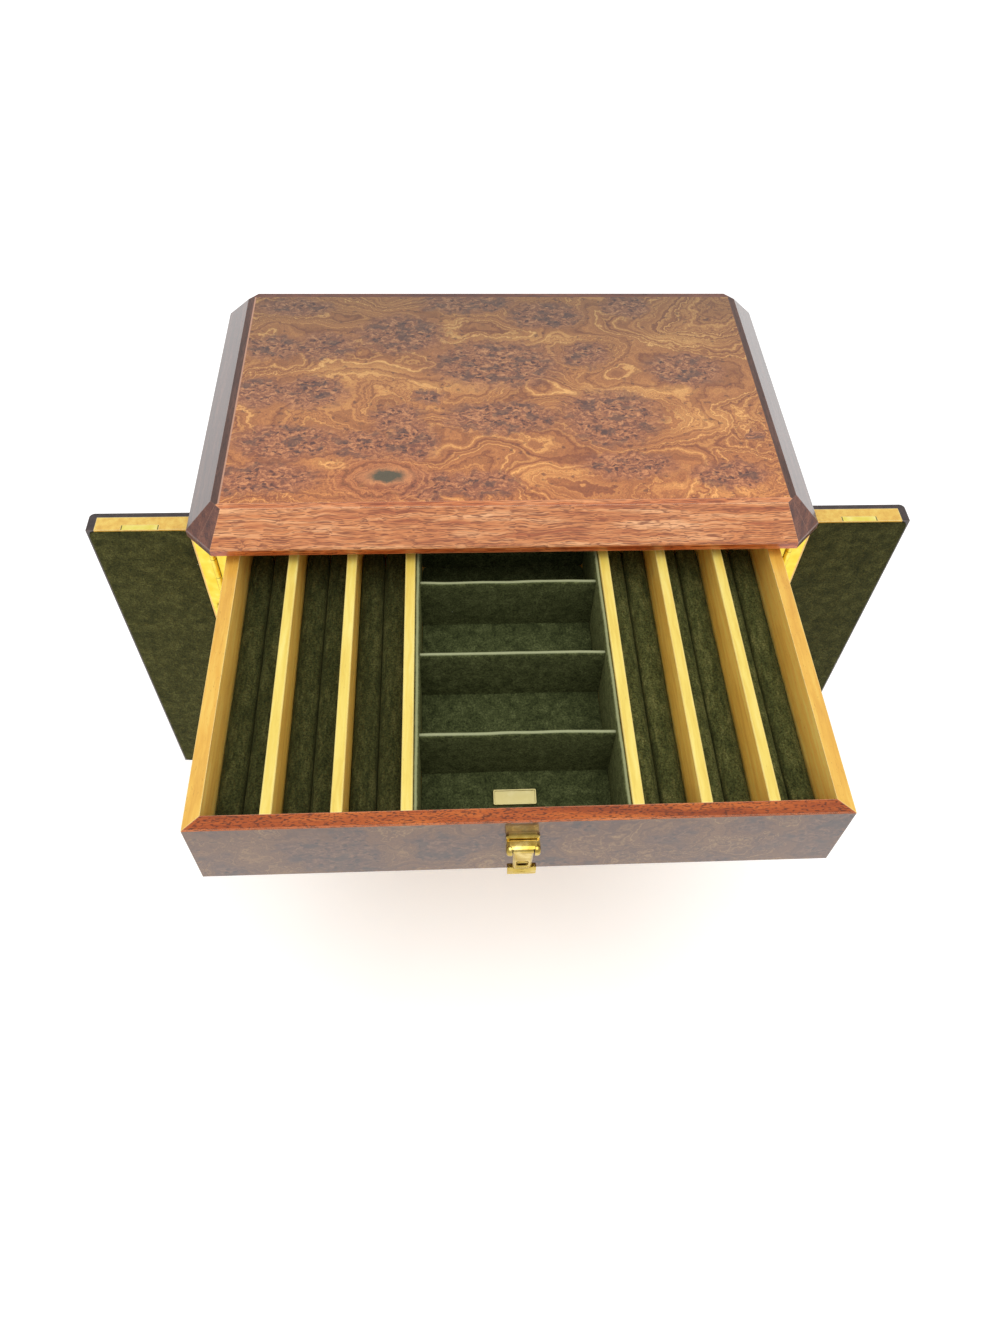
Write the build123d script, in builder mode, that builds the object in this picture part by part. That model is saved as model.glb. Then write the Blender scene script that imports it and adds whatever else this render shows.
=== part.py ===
from build123d import *

import os
from math import sqrt

# Cufflink chest: a small veneered cabinet with a bevelled lid, four stacked drawers and two
# narrow locking doors on continuous hinges.
#
# Frame: millimetres, +Z up, +X to the right, the front faces -Y. The origin lies on the floor under
# the centre of the lid. The chest is drawn as it is used: the top drawer is pulled out and both
# doors are folded back flat, level with the front of the carcass.

# ------------------------------------------------------------------ driving dimensions (mm)
# lid
PANEL_W = 320.0             # burl panel, left to right
PANEL_D = 190.0             # burl panel, front to back
BAND_W = 4.0                # flat band of the moulding round the panel
BEVEL_RUN = 16.0            # how far the lid's bevel runs outwards
BEVEL_DROP = 16.5           # how far it falls
LID_EDGE = 4.5              # upright edge under the bevel
LID_CANT = 6.0              # leg of the canted corner, at the top of the bevel
EASE = 0.6                  # small chamfer on the mouldings' long edges
# overall
TOTAL_H = 310.0
# carcass
SIDE_OVERHANG = 10.0        # lid beyond the carcass sides
FRONT_OVERHANG = 20.0       # lid beyond the carcass front
BACK_OVERHANG = 2.0
SIDE_T = 11.0
TOP_BOARD_T = 6.0
BOTTOM_BOARD_T = 8.0
BACK_T = 6.0
# plinth
PLINTH_H = 24.0             # with the felt
PLINTH_SPREAD = 4.0         # plinth's foot beyond the lid's edge
PLINTH_RUN = 8.0
PLINTH_DROP = 13.0
PLINTH_RAIL_W = 24.0        # width of the plinth's rails at the floor
PLINTH_CANT = 11.0          # leg of the canted corner, at the top of the plinth's bevel
BASE_PANEL_T = 4.0
FELT_T = 1.0
FELT_INSET = 2.0
# drawers
DRAWER_GAP_SIDE = 0.75      # to the carcass side
DRAWER_GAP_TOP = 1.5
DRAWER_GAP_BETWEEN = 1.0
DRAWER_GAP_BACK = 2.0       # closed drawer to the carcass back
DRAWER_WALL = 7.5
TOP_DRAWER_H = 52.0
LOWER_DRAWERS = 3
HELD_LEN = 20.0             # length of the open top drawer that stays in the carcass
BOTTOM_RISE = 4.0           # bottom panel above the drawer's lower edge
BOTTOM_T = 4.0
BOTTOM_SEAT = 3.0           # how far the bottom panel is housed in the walls
FRONT_EASE = 0.5
# runners
RUNNER_H = 8.0
RUNNER_OUT = 4.5
RUNNER_RISE = 22.0          # runner's underside above the drawer's lower edge
RUNNER_SETBACK = 16.0       # runner's front end behind the carcass front
RUNNER_SIDE_PLAY = 0.3      # runner's edge to the bottom of the groove
RUNNER_TOP_PLAY = 0.1       # the drawer hangs on the runners
RUNNER_LOW_PLAY = 0.5
GROOVE_STOP = 12.0          # groove ends this far behind the drawer's face
# inside the top drawer
STRIP_T = 5.6               # maple divider strips
STRIP_EASE = 0.4
SLOTS_A_SIDE = 3
TRAY_HALF = 52.2            # centre tray, from the middle to its inner divider strips
LINER_T = 2.6
LINER_DROP = 1.2            # liner's top below the strips
FLOOR_T = 1.5               # suede on the tray's floor
CROSS_T = 3.0
CROSS_DROP = 5.0            # cross dividers' top below the strips
CROSS_PITCH = 49.0
CROSS_COUNT = 3
ROLL_H = 22.0               # padded rolls above the drawer bottom
ROLL_CROWN = 4.0            # how far each roll's top is domed
SOFT_GAP = 0.3
# lining of the lower drawers
PAD_T = 3.0
PAD_CROWN = 1.0
# doors
DOOR_W = 66.2
DOOR_T = 14.5
DOOR_GAP_TOP = 1.3
DOOR_GAP_LOW = 1.1
SHELL_T = 3.2               # veneered outer face
SHELL_LIP = 4.5             # the shell's return round the free edge
SHELL_ROUND = 3.0
SUEDE_T = 1.5
SUEDE_MARGIN = 1.0
STRIKE_W = 21.0
STRIKE_D = 3.5
STRIKE_T = 0.6
STRIKE_BACK = 1.6           # strike plate behind the door's inner face
STRIKE_FROM_AXIS = 37.2
MAGNET_R = 2.0
MAGNET_DEPTH = 3.0
# continuous hinges
HINGE_INSET = 6.3           # hinge ends inside the door's top and foot
HINGE_KNUCKLES = 15
HINGE_LEAF_W = 8.4          # from the axis
LEAF_T = 1.0
BARREL_R = 1.7
PIN_R = 0.8
PIN_PLAY = 0.05
KNUCKLE_GAP = 0.3
HINGE_GAP = 1.0             # closed door to carcass front
HINGE_OUT = 0.8             # axis outside the carcass side
BARREL_ROOM = 0.3
# drawer pulls
PULL_DOWN = 12.5            # top of the pull's plate below the drawer's top edge
PULL_PLATE_W = 16.4
PULL_PLATE_H = 11.0
PULL_PLATE_T = 1.8
PULL_CORNER = 1.5
EAR_W = 2.8
EAR_R = 3.1
PULL_AXIS_OUT = 5.4         # pin in front of the drawer face
PULL_AXIS_DOWN = 5.5        # pin below the plate's top
PULL_PIN_R = 0.8
DROP_BARREL_R = 2.0
DROP_SIDE_PLAY = 0.2
TAB_T = 1.8
TAB_LEN = 18.0              # from the pin to the top of the foot
TAB_WAIST = 0.7             # the tab narrows by this much a side
WINDOW_W = 5.4
WINDOW_H = 6.5
WINDOW_UP = 2.0             # bar left between the window and the foot
FOOT_W = 14.2
FOOT_H = 6.4
FOOT_T = 4.4
FOOT_ROUND = 1.6

# ------------------------------------------------------------------ worked-out places
LID_H = BEVEL_DROP + LID_EDGE
LID_UNDER = TOTAL_H - LID_H
LID_W = PANEL_W + 2 * (BAND_W + BEVEL_RUN)
LID_D = PANEL_D + 2 * (BAND_W + BEVEL_RUN)
CARCASS_FRONT = -LID_D / 2 + FRONT_OVERHANG
CARCASS_BACK = LID_D / 2 - BACK_OVERHANG
CARCASS_HALF = LID_W / 2 - SIDE_OVERHANG
INNER_HALF = CARCASS_HALF - SIDE_T
INNER_BACK = CARCASS_BACK - BACK_T
BAY_LOW = PLINTH_H + BOTTOM_BOARD_T
BAY_TOP = LID_UNDER - TOP_BOARD_T
DRAWER_W = 2 * (INNER_HALF - DRAWER_GAP_SIDE)
DRAWER_IN_HALF = DRAWER_W / 2 - DRAWER_WALL
DRAWER_LEN = INNER_BACK - CARCASS_FRONT - DRAWER_GAP_BACK
DRAWER_OUT = DRAWER_LEN - HELD_LEN
TOP_DRAWER_Z = BAY_TOP - DRAWER_GAP_TOP - TOP_DRAWER_H
LOWER_H = (TOP_DRAWER_Z - BAY_LOW - (LOWER_DRAWERS + 1) * DRAWER_GAP_BETWEEN) / LOWER_DRAWERS
DRAWERS = [(TOP_DRAWER_Z, TOP_DRAWER_H, CARCASS_FRONT - DRAWER_OUT)]
for step in range(1, LOWER_DRAWERS + 1):
    low = TOP_DRAWER_Z - step * (LOWER_H + DRAWER_GAP_BETWEEN)
    DRAWERS.append((low, LOWER_H, CARCASS_FRONT))
DOOR_LOW = PLINTH_H + DOOR_GAP_LOW
DOOR_TOP = LID_UNDER - DOOR_GAP_TOP
AXIS_X = CARCASS_HALF + HINGE_OUT
AXIS_Y = CARCASS_FRONT - HINGE_GAP / 2
DOOR_NEAR = AXIS_X + HINGE_OUT          # hinge edge of the opened door
DOOR_FAR = DOOR_NEAR + DOOR_W
HINGE_LOW = DOOR_LOW + HINGE_INSET
HINGE_LEN = DOOR_TOP - DOOR_LOW - 2 * HINGE_INSET
BARREL_CLEAR = BARREL_R + BARREL_ROOM
SIDES = {"left": -1, "right": 1}

os.makedirs("parts", exist_ok=True)


def save(piece, name):
    """Label a finished piece and write its STEP file."""
    piece.part.label = name
    export_step(piece.part, f"parts/{name}.step")


def slab(x0, x1, y0, y1, z0, z1, mode=Mode.ADD):
    """A rectangular board between two corners, added to the piece being built."""
    with Locations(((x0 + x1) / 2, (y0 + y1) / 2, (z0 + z1) / 2)):
        Box(abs(x1 - x0), abs(y1 - y0), z1 - z0, mode=mode)


def leaf_bed(edge_x, reach):
    """Cut the bed of a hinge leaf and the room for its barrel out of a board's front edge."""
    axis_x = edge_x - reach * HINGE_OUT
    low, top = HINGE_LOW - KNUCKLE_GAP, HINGE_LOW + HINGE_LEN
    barrel_depth = AXIS_Y + BARREL_CLEAR - CARCASS_FRONT
    slab(edge_x, axis_x + reach * HINGE_LEAF_W, CARCASS_FRONT, CARCASS_FRONT + LEAF_T, low, top,
         mode=Mode.SUBTRACT)
    slab(edge_x, axis_x + reach * BARREL_CLEAR, CARCASS_FRONT, CARCASS_FRONT + barrel_depth, low, top,
         mode=Mode.SUBTRACT)


# ------------------------------------------------------------------ canted mouldings
def canted_outline(width, depth, leg):
    """Rectangle with its four corners cut off at 45 degrees; leg is the cut along each side."""
    x, y = width / 2, depth / 2
    half = [(x, leg - y), (x, y - leg), (x - leg, y), (leg - x, y)]
    Polygon(*half, *[(-px, -py) for px, py in half], align=None)


def spread_leg(leg, run):
    """Leg of the canted corner once every face has moved outwards by the same run."""
    return leg + run * (2 - sqrt(2))


def canted_block(width, depth, leg, run, z_top, drop, edge):
    """Block with canted corners whose sides slope out from a top outline to an upright edge."""
    ridge_z = z_top - drop
    with BuildPart() as block:
        with BuildSketch(Plane.XY.offset(z_top)):
            canted_outline(width, depth, leg)
        with BuildSketch(Plane.XY.offset(ridge_z)):
            canted_outline(width + 2 * run, depth + 2 * run, spread_leg(leg, run))
        loft(ruled=True)
        with BuildSketch(Plane.XY.offset(ridge_z - edge)):
            canted_outline(width + 2 * run, depth + 2 * run, spread_leg(leg, run))
        extrude(amount=edge)
        level = block.edges().filter_by(Axis.Z, reverse=True)
        chamfer(level.filter_by_position(Axis.Z, ridge_z - EASE, ridge_z + EASE), EASE)
    return block


def keep_sides(sides, in_w, in_d, z_low, height):
    """Keep only some sides of a frame, mitred through the corners of its inner rectangle."""
    x, y, far = in_w / 2, in_d / 2, in_w
    wedges = {
        "front": [(-x, -y), (x, -y), (x + far, -y - far), (-x - far, -y - far)],
        "back": [(-x, y), (x, y), (x + far, y + far), (-x - far, y + far)],
        "left": [(-x, -y), (-x, y), (-x - far, y + far), (-x - far, -y - far)],
        "right": [(x, -y), (x, y), (x + far, y + far), (x + far, -y - far)],
    }
    with BuildSketch(Plane.XY.offset(z_low)) as region:
        for side in sides:
            Polygon(*wedges[side], align=None)
    extrude(region.sketch, amount=height, mode=Mode.INTERSECT)


# ------------------------------------------------------------------ lid
MAGNET_X = AXIS_X - STRIKE_FROM_AXIS
MAGNET_Y = AXIS_Y - HINGE_GAP / 2 - STRIKE_BACK - STRIKE_D / 2
MAGNET_SPOTS = [(-MAGNET_X, MAGNET_Y, LID_UNDER), (MAGNET_X, MAGNET_Y, LID_UNDER)]
UPWARDS = (Align.CENTER, Align.CENTER, Align.MIN)
FRAME_SIDES = {"front": ["front"], "back": ["back"], "side": ["left", "right"]}

with BuildPart() as lid_panel:
    slab(-PANEL_W / 2, PANEL_W / 2, -PANEL_D / 2, PANEL_D / 2, LID_UNDER, TOTAL_H)
save(lid_panel, "lid_panel")

lid_block = canted_block(PANEL_W + 2 * BAND_W, PANEL_D + 2 * BAND_W, LID_CANT, BEVEL_RUN, TOTAL_H,
                         BEVEL_DROP, LID_EDGE)
for side_name, sides in FRAME_SIDES.items():
    with BuildPart() as lid_moulding:
        add(lid_block.part)
        keep_sides(sides, PANEL_W, PANEL_D, LID_UNDER, LID_H)
        if side_name == "front":
            with Locations(*MAGNET_SPOTS):
                Cylinder(MAGNET_R, MAGNET_DEPTH, align=UPWARDS, mode=Mode.SUBTRACT)
    save(lid_moulding, f"lid_{side_name}_moulding")

with BuildPart() as door_magnets:
    with Locations(*MAGNET_SPOTS):
        Cylinder(MAGNET_R, MAGNET_DEPTH, align=UPWARDS)
save(door_magnets, "door_magnets")

# ------------------------------------------------------------------ plinth
PLINTH_TOP_W = LID_W + 2 * (PLINTH_SPREAD - PLINTH_RUN)
PLINTH_TOP_D = LID_D + 2 * (PLINTH_SPREAD - PLINTH_RUN)
PLINTH_FOOT_W = PLINTH_TOP_W + 2 * PLINTH_RUN
PLINTH_FOOT_D = PLINTH_TOP_D + 2 * PLINTH_RUN
PLINTH_IN_W = PLINTH_FOOT_W - 2 * PLINTH_RAIL_W
PLINTH_IN_D = PLINTH_FOOT_D - 2 * PLINTH_RAIL_W
plinth_block = canted_block(PLINTH_TOP_W, PLINTH_TOP_D, PLINTH_CANT, PLINTH_RUN, PLINTH_H,
                            PLINTH_DROP, PLINTH_H - FELT_T - PLINTH_DROP)
for side_name, sides in FRAME_SIDES.items():
    with BuildPart() as plinth_moulding:
        add(plinth_block.part)
        keep_sides(sides, PLINTH_IN_W, PLINTH_IN_D, FELT_T, PLINTH_H - FELT_T)
    save(plinth_moulding, f"plinth_{side_name}_moulding")

with BuildPart() as base_panel:
    slab(-PLINTH_IN_W / 2, PLINTH_IN_W / 2, -PLINTH_IN_D / 2, PLINTH_IN_D / 2, FELT_T,
         FELT_T + BASE_PANEL_T)
save(base_panel, "base_panel")

FELT_CANT = spread_leg(PLINTH_CANT, PLINTH_RUN - FELT_INSET)
with BuildPart() as base_felt:
    with BuildSketch():
        canted_outline(PLINTH_FOOT_W - 2 * FELT_INSET, PLINTH_FOOT_D - 2 * FELT_INSET, FELT_CANT)
    extrude(amount=FELT_T)
save(base_felt, "base_felt")

# ------------------------------------------------------------------ carcass
for side_name, sign in SIDES.items():
    with BuildPart() as carcass_side:
        slab(sign * INNER_HALF, sign * CARCASS_HALF, CARCASS_FRONT, CARCASS_BACK, PLINTH_H, LID_UNDER)
        leaf_bed(sign * CARCASS_HALF, -sign)
    save(carcass_side, f"carcass_{side_name}_side")

with BuildPart() as carcass_back:
    slab(-INNER_HALF, INNER_HALF, INNER_BACK, CARCASS_BACK, PLINTH_H, LID_UNDER)
save(carcass_back, "carcass_back")

with BuildPart() as carcass_top_board:
    slab(-INNER_HALF, INNER_HALF, CARCASS_FRONT, INNER_BACK, BAY_TOP, LID_UNDER)
save(carcass_top_board, "carcass_top_board")

with BuildPart() as carcass_bottom_board:
    slab(-INNER_HALF, INNER_HALF, CARCASS_FRONT, INNER_BACK, PLINTH_H, BAY_LOW)
save(carcass_bottom_board, "carcass_bottom_board")

with BuildPart() as drawer_runners:
    for drawer_low, _, _ in DRAWERS:
        for sign in SIDES.values():
            slab(sign * INNER_HALF, sign * (INNER_HALF - RUNNER_OUT), CARCASS_FRONT + RUNNER_SETBACK,
                 INNER_BACK, drawer_low + RUNNER_RISE, drawer_low + RUNNER_RISE + RUNNER_H)
save(drawer_runners, "drawer_runners")

# ------------------------------------------------------------------ continuous hinges
def hinge_leaf(axis_x, reach, first):
    """One leaf lying in its bed, with every second knuckle; reach is +1 or -1 away from the axis."""
    pitch = HINGE_LEN / HINGE_KNUCKLES
    knuckle = pitch - KNUCKLE_GAP
    face = CARCASS_FRONT
    spots = [(axis_x, AXIS_Y, HINGE_LOW + i * pitch) for i in range(first, HINGE_KNUCKLES, 2)]
    with BuildPart() as leaf:
        slab(axis_x + reach * BARREL_CLEAR, axis_x + reach * HINGE_LEAF_W, face, face + LEAF_T,
             HINGE_LOW, HINGE_LOW + HINGE_LEN - KNUCKLE_GAP)
        for x, _, z in spots:
            slab(x + reach * PIN_R, x + reach * BARREL_CLEAR, face, face + LEAF_T, z, z + knuckle)
        with Locations(*spots):
            Cylinder(BARREL_R, knuckle, align=UPWARDS)
        with Locations((axis_x, AXIS_Y, HINGE_LOW)):
            Cylinder(PIN_R + PIN_PLAY, HINGE_LEN, align=UPWARDS, mode=Mode.SUBTRACT)
    return leaf


with BuildPart() as hinge_cabinet_leaves:
    for sign in SIDES.values():
        add(hinge_leaf(sign * AXIS_X, -sign, 0).part)
save(hinge_cabinet_leaves, "hinge_cabinet_leaves")

with BuildPart() as hinge_pins:
    with Locations(*[(sign * AXIS_X, AXIS_Y, HINGE_LOW) for sign in SIDES.values()]):
        Cylinder(PIN_R, HINGE_LEN - KNUCKLE_GAP, align=UPWARDS)
save(hinge_pins, "hinge_pins")

# ------------------------------------------------------------------ doors, folded back
INNER_FACE = CARCASS_FRONT
OUTER_FACE = INNER_FACE + DOOR_T
SUEDE_NEAR = AXIS_X + HINGE_LEAF_W + SUEDE_MARGIN
SUEDE_FAR = DOOR_FAR - SUEDE_MARGIN
STRIKE_X = AXIS_X + STRIKE_FROM_AXIS
for side_name, sign in SIDES.items():
    with BuildPart() as door_core:
        slab(sign * DOOR_NEAR, sign * (DOOR_FAR - SHELL_LIP), INNER_FACE, OUTER_FACE - SHELL_T,
             DOOR_LOW, DOOR_TOP)
        leaf_bed(sign * DOOR_NEAR, sign)
        slab(sign * SUEDE_NEAR, sign * DOOR_FAR, INNER_FACE, INNER_FACE + SUEDE_T, DOOR_LOW, DOOR_TOP,
             mode=Mode.SUBTRACT)
        slab(sign * (STRIKE_X - STRIKE_W / 2), sign * (STRIKE_X + STRIKE_W / 2),
             INNER_FACE + STRIKE_BACK, INNER_FACE + STRIKE_BACK + STRIKE_D, DOOR_TOP - STRIKE_T,
             DOOR_TOP, mode=Mode.SUBTRACT)
    save(door_core, f"door_{side_name}_core")

    with BuildPart() as door_shell:
        slab(sign * DOOR_NEAR, sign * DOOR_FAR, OUTER_FACE - SHELL_T, OUTER_FACE, DOOR_LOW, DOOR_TOP)
        slab(sign * (DOOR_FAR - SHELL_LIP), sign * DOOR_FAR, INNER_FACE + SUEDE_T,
             OUTER_FACE - SHELL_T, DOOR_LOW, DOOR_TOP)
        free_edges = door_shell.edges().filter_by(Axis.Z).group_by(Axis.Y)[-1]
        fillet(free_edges.sort_by(Axis.X)[-1 if sign > 0 else 0], SHELL_ROUND)
    save(door_shell, f"door_{side_name}_shell")

    with BuildPart() as door_suede:
        slab(sign * SUEDE_NEAR, sign * SUEDE_FAR, INNER_FACE, INNER_FACE + SUEDE_T,
             DOOR_LOW + SUEDE_MARGIN, DOOR_TOP - SUEDE_MARGIN)
        face_edges = door_suede.faces().sort_by(Axis.Y)[0].edges()
        chamfer(face_edges, SUEDE_T / 2)
    save(door_suede, f"door_{side_name}_suede")

    with BuildPart() as door_strike:
        slab(sign * (STRIKE_X - STRIKE_W / 2), sign * (STRIKE_X + STRIKE_W / 2),
             INNER_FACE + STRIKE_BACK, INNER_FACE + STRIKE_BACK + STRIKE_D, DOOR_TOP - STRIKE_T,
             DOOR_TOP)
    save(door_strike, f"door_{side_name}_strike_plate")
    save(hinge_leaf(sign * AXIS_X, sign, 1), f"door_{side_name}_hinge_leaf")

# ------------------------------------------------------------------ drawers
def bottom_groove(low, face):
    """Cut the housing for the bottom panel out of the wall being built."""
    half, seat = DRAWER_IN_HALF + BOTTOM_SEAT, DRAWER_WALL - BOTTOM_SEAT
    slab(-half, half, face + seat, face + DRAWER_LEN - seat, low + BOTTOM_RISE,
         low + BOTTOM_RISE + BOTTOM_T, mode=Mode.SUBTRACT)


def drawer_front(low, height, face):
    """Front board with mitred ends, its long outer edges eased."""
    half, wall = DRAWER_W / 2, DRAWER_WALL
    with BuildPart() as front:
        with BuildSketch(Plane.XY.offset(low)):
            Polygon((-half, face), (half, face), (half - wall, face + wall),
                    (wall - half, face + wall), align=None)
        extrude(amount=height)
        chamfer(front.faces().sort_by(Axis.Y)[0].edges().filter_by(Axis.X), FRONT_EASE)
        bottom_groove(low, face)
    return front


def drawer_side(low, height, face, sign):
    """Side wall: mitred at the front, housed for the bottom and grooved for its runner."""
    half, inner, end = DRAWER_W / 2, DRAWER_IN_HALF, face + DRAWER_LEN
    groove_low = low + RUNNER_RISE - RUNNER_LOW_PLAY
    groove_top = low + RUNNER_RISE + RUNNER_H + RUNNER_TOP_PLAY
    with BuildPart() as wall:
        with BuildSketch(Plane.XY.offset(low)):
            Polygon((sign * half, face), (sign * half, end), (sign * inner, end),
                    (sign * inner, face + DRAWER_WALL), align=None)
        extrude(amount=height)
        bottom_groove(low, face)
        slab(sign * half, sign * (INNER_HALF - RUNNER_OUT - RUNNER_SIDE_PLAY), face + GROOVE_STOP,
             end, groove_low, groove_top, mode=Mode.SUBTRACT)
    return wall


def drawer_back(low, height, face):
    """Back wall, between the sides."""
    end = face + DRAWER_LEN
    with BuildPart() as wall:
        slab(-DRAWER_IN_HALF, DRAWER_IN_HALF, end - DRAWER_WALL, end, low, low + height)
        bottom_groove(low, face)
    return wall


def drawer_bottom(low, face):
    """Thin bottom panel, housed in all four walls."""
    half, seat = DRAWER_IN_HALF + BOTTOM_SEAT, DRAWER_WALL - BOTTOM_SEAT
    with BuildPart() as panel:
        slab(-half, half, face + seat, face + DRAWER_LEN - seat, low + BOTTOM_RISE,
             low + BOTTOM_RISE + BOTTOM_T)
    return panel


def pull_mount(top, face):
    """Backplate with two rounded ears, and the pin that is riveted through them."""
    plate_top = top - PULL_DOWN
    axis_y, axis_z = face - PULL_AXIS_OUT, plate_top - PULL_AXIS_DOWN
    ear_mid = PULL_PLATE_W / 2 - EAR_W / 2
    with BuildPart() as mount:
        with BuildSketch(Plane.XZ.offset(-face)):
            with Locations((0, plate_top - PULL_PLATE_H / 2)):
                RectangleRounded(PULL_PLATE_W, PULL_PLATE_H, PULL_CORNER)
        extrude(amount=PULL_PLATE_T)
        for x in (-ear_mid, ear_mid):
            with BuildSketch(Plane.YZ.offset(x)):
                with Locations((axis_y, axis_z)):
                    Circle(EAR_R)
                with Locations(((axis_y + face - PULL_PLATE_T) / 2, axis_z)):
                    Rectangle(face - PULL_PLATE_T - axis_y, 2 * EAR_R)
            extrude(amount=EAR_W / 2, both=True)
        with Locations(Location((0, axis_y, axis_z), (0, 90, 0))):
            Cylinder(PULL_PIN_R, PULL_PLATE_W)
    return mount


def pull_drop(top, face):
    """Hanging drop: barrel on the pin, waisted tab with a window, and a wide rounded foot."""
    axis_y = face - PULL_AXIS_OUT
    axis_z = top - PULL_DOWN - PULL_AXIS_DOWN
    barrel_w = PULL_PLATE_W - 2 * (EAR_W + DROP_SIDE_PLAY)
    foot_top = axis_z - TAB_LEN
    upper, lower = barrel_w / 2, barrel_w / 2 - TAB_WAIST
    window_mid = foot_top + WINDOW_UP + WINDOW_H / 2
    with BuildPart() as drop:
        with Locations(Location((0, axis_y, axis_z), (0, 90, 0))):
            Cylinder(DROP_BARREL_R, barrel_w)
        with BuildSketch(Plane.XZ.offset(-axis_y)):
            Polygon((-upper, axis_z), (-lower, foot_top), (lower, foot_top), (upper, axis_z),
                    align=None)
        extrude(amount=TAB_T / 2, both=True)
        with BuildSketch(Plane.YZ):
            with Locations((axis_y, foot_top - FOOT_H / 2)):
                RectangleRounded(FOOT_T, FOOT_H, FOOT_ROUND)
        extrude(amount=FOOT_W / 2, both=True)
        with Locations((0, axis_y, window_mid)):
            Box(WINDOW_W, TAB_T, WINDOW_H, mode=Mode.SUBTRACT)
        with Locations(Location((0, axis_y, axis_z), (0, 90, 0))):
            Cylinder(PULL_PIN_R + PIN_PLAY, barrel_w, mode=Mode.SUBTRACT)
    return drop


for number, (low, height, face) in enumerate(DRAWERS, start=1):
    save(drawer_front(low, height, face), f"drawer_{number}_front")
    with BuildPart() as drawer_walls:
        add(drawer_side(low, height, face, -1).part)
        add(drawer_side(low, height, face, 1).part)
    save(drawer_walls, f"drawer_{number}_sides")
    save(drawer_back(low, height, face), f"drawer_{number}_back")
    save(drawer_bottom(low, face), f"drawer_{number}_bottom")
    save(pull_mount(low + height, face), f"pull_{number}_mount")
    save(pull_drop(low + height, face), f"pull_{number}_drop")

# ------------------------------------------------------------------ inside the top drawer
TRAY_FLOOR = TOP_DRAWER_Z + BOTTOM_RISE + BOTTOM_T
TOP_EDGE = TOP_DRAWER_Z + TOP_DRAWER_H
TRAY_FACE = DRAWERS[0][2]
TRAY_FRONT = TRAY_FACE + DRAWER_WALL
TRAY_BACK = TRAY_FACE + DRAWER_LEN - DRAWER_WALL
SLOT_W = (DRAWER_IN_HALF - TRAY_HALF - SLOTS_A_SIDE * STRIP_T) / SLOTS_A_SIDE
SLOT_PITCH = SLOT_W + STRIP_T
STRIP_MIDS = [TRAY_HALF + STRIP_T / 2 + i * SLOT_PITCH for i in range(SLOTS_A_SIDE)]
SLOT_MIDS = [mid + SLOT_PITCH / 2 for mid in STRIP_MIDS]

with BuildPart() as divider_strips:
    for mid in STRIP_MIDS:
        for sign in SIDES.values():
            slab(sign * mid - STRIP_T / 2, sign * mid + STRIP_T / 2, TRAY_FRONT, TRAY_BACK,
                 TRAY_FLOOR, TOP_EDGE)
    tops = divider_strips.faces().filter_by(Axis.Z).group_by(Axis.Z)[-1]
    chamfer(tops.edges().filter_by(Axis.Y), STRIP_EASE)
save(divider_strips, "drawer_1_divider_strips")

# two rolls lie side by side in each slot, with the same gap beside and between them
ROLL_W = (SLOT_W - 3 * SOFT_GAP) / 2
with BuildPart() as ring_rolls:
    shoulder = TRAY_FLOOR + ROLL_H - ROLL_CROWN
    for mid in SLOT_MIDS:
        for sign in SIDES.values():
            for lean in SIDES.values():
                x = sign * mid + lean * (ROLL_W + SOFT_GAP) / 2
                with BuildSketch(Plane.XZ.offset(-TRAY_FRONT - SOFT_GAP)):
                    with BuildLine():
                        Polyline((x + ROLL_W / 2, shoulder), (x + ROLL_W / 2, TRAY_FLOOR),
                                 (x - ROLL_W / 2, TRAY_FLOOR), (x - ROLL_W / 2, shoulder))
                        ThreePointArc((x - ROLL_W / 2, shoulder), (x, shoulder + ROLL_CROWN),
                                      (x + ROLL_W / 2, shoulder))
                    make_face()
                extrude(amount=-(TRAY_BACK - TRAY_FRONT - 2 * SOFT_GAP))
save(ring_rolls, "drawer_1_ring_rolls")

LINER_TOP = TOP_EDGE - LINER_DROP
with BuildPart() as tray_liners:
    for sign in SIDES.values():
        slab(sign * TRAY_HALF, sign * (TRAY_HALF - LINER_T), TRAY_FRONT, TRAY_BACK, TRAY_FLOOR,
             LINER_TOP)
save(tray_liners, "drawer_1_tray_liners")

TRAY_IN = TRAY_HALF - LINER_T
with BuildPart() as tray_floor:
    slab(-TRAY_IN, TRAY_IN, TRAY_FRONT, TRAY_BACK, TRAY_FLOOR, TRAY_FLOOR + FLOOR_T)
save(tray_floor, "drawer_1_tray_floor")

TRAY_MID = (TRAY_FRONT + TRAY_BACK) / 2
with BuildPart() as tray_dividers:
    for i in range(CROSS_COUNT):
        y = TRAY_MID + (i - (CROSS_COUNT - 1) / 2) * CROSS_PITCH
        slab(-TRAY_IN, TRAY_IN, y - CROSS_T / 2, y + CROSS_T / 2, TRAY_FLOOR + FLOOR_T,
             TOP_EDGE - CROSS_DROP)
save(tray_dividers, "drawer_1_tray_dividers")

# ------------------------------------------------------------------ linings of the lower drawers
for number, (low, height, face) in enumerate(DRAWERS[1:], start=2):
    pad_low = low + BOTTOM_RISE + BOTTOM_T
    pad_half = DRAWER_IN_HALF - SOFT_GAP
    with BuildPart() as lining:
        slab(-pad_half, pad_half, face + DRAWER_WALL + SOFT_GAP,
             face + DRAWER_LEN - DRAWER_WALL - SOFT_GAP, pad_low, pad_low + PAD_T)
        chamfer(lining.faces().sort_by(Axis.Z)[-1].edges(), PAD_CROWN)
    save(lining, f"drawer_{number}_lining")
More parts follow.
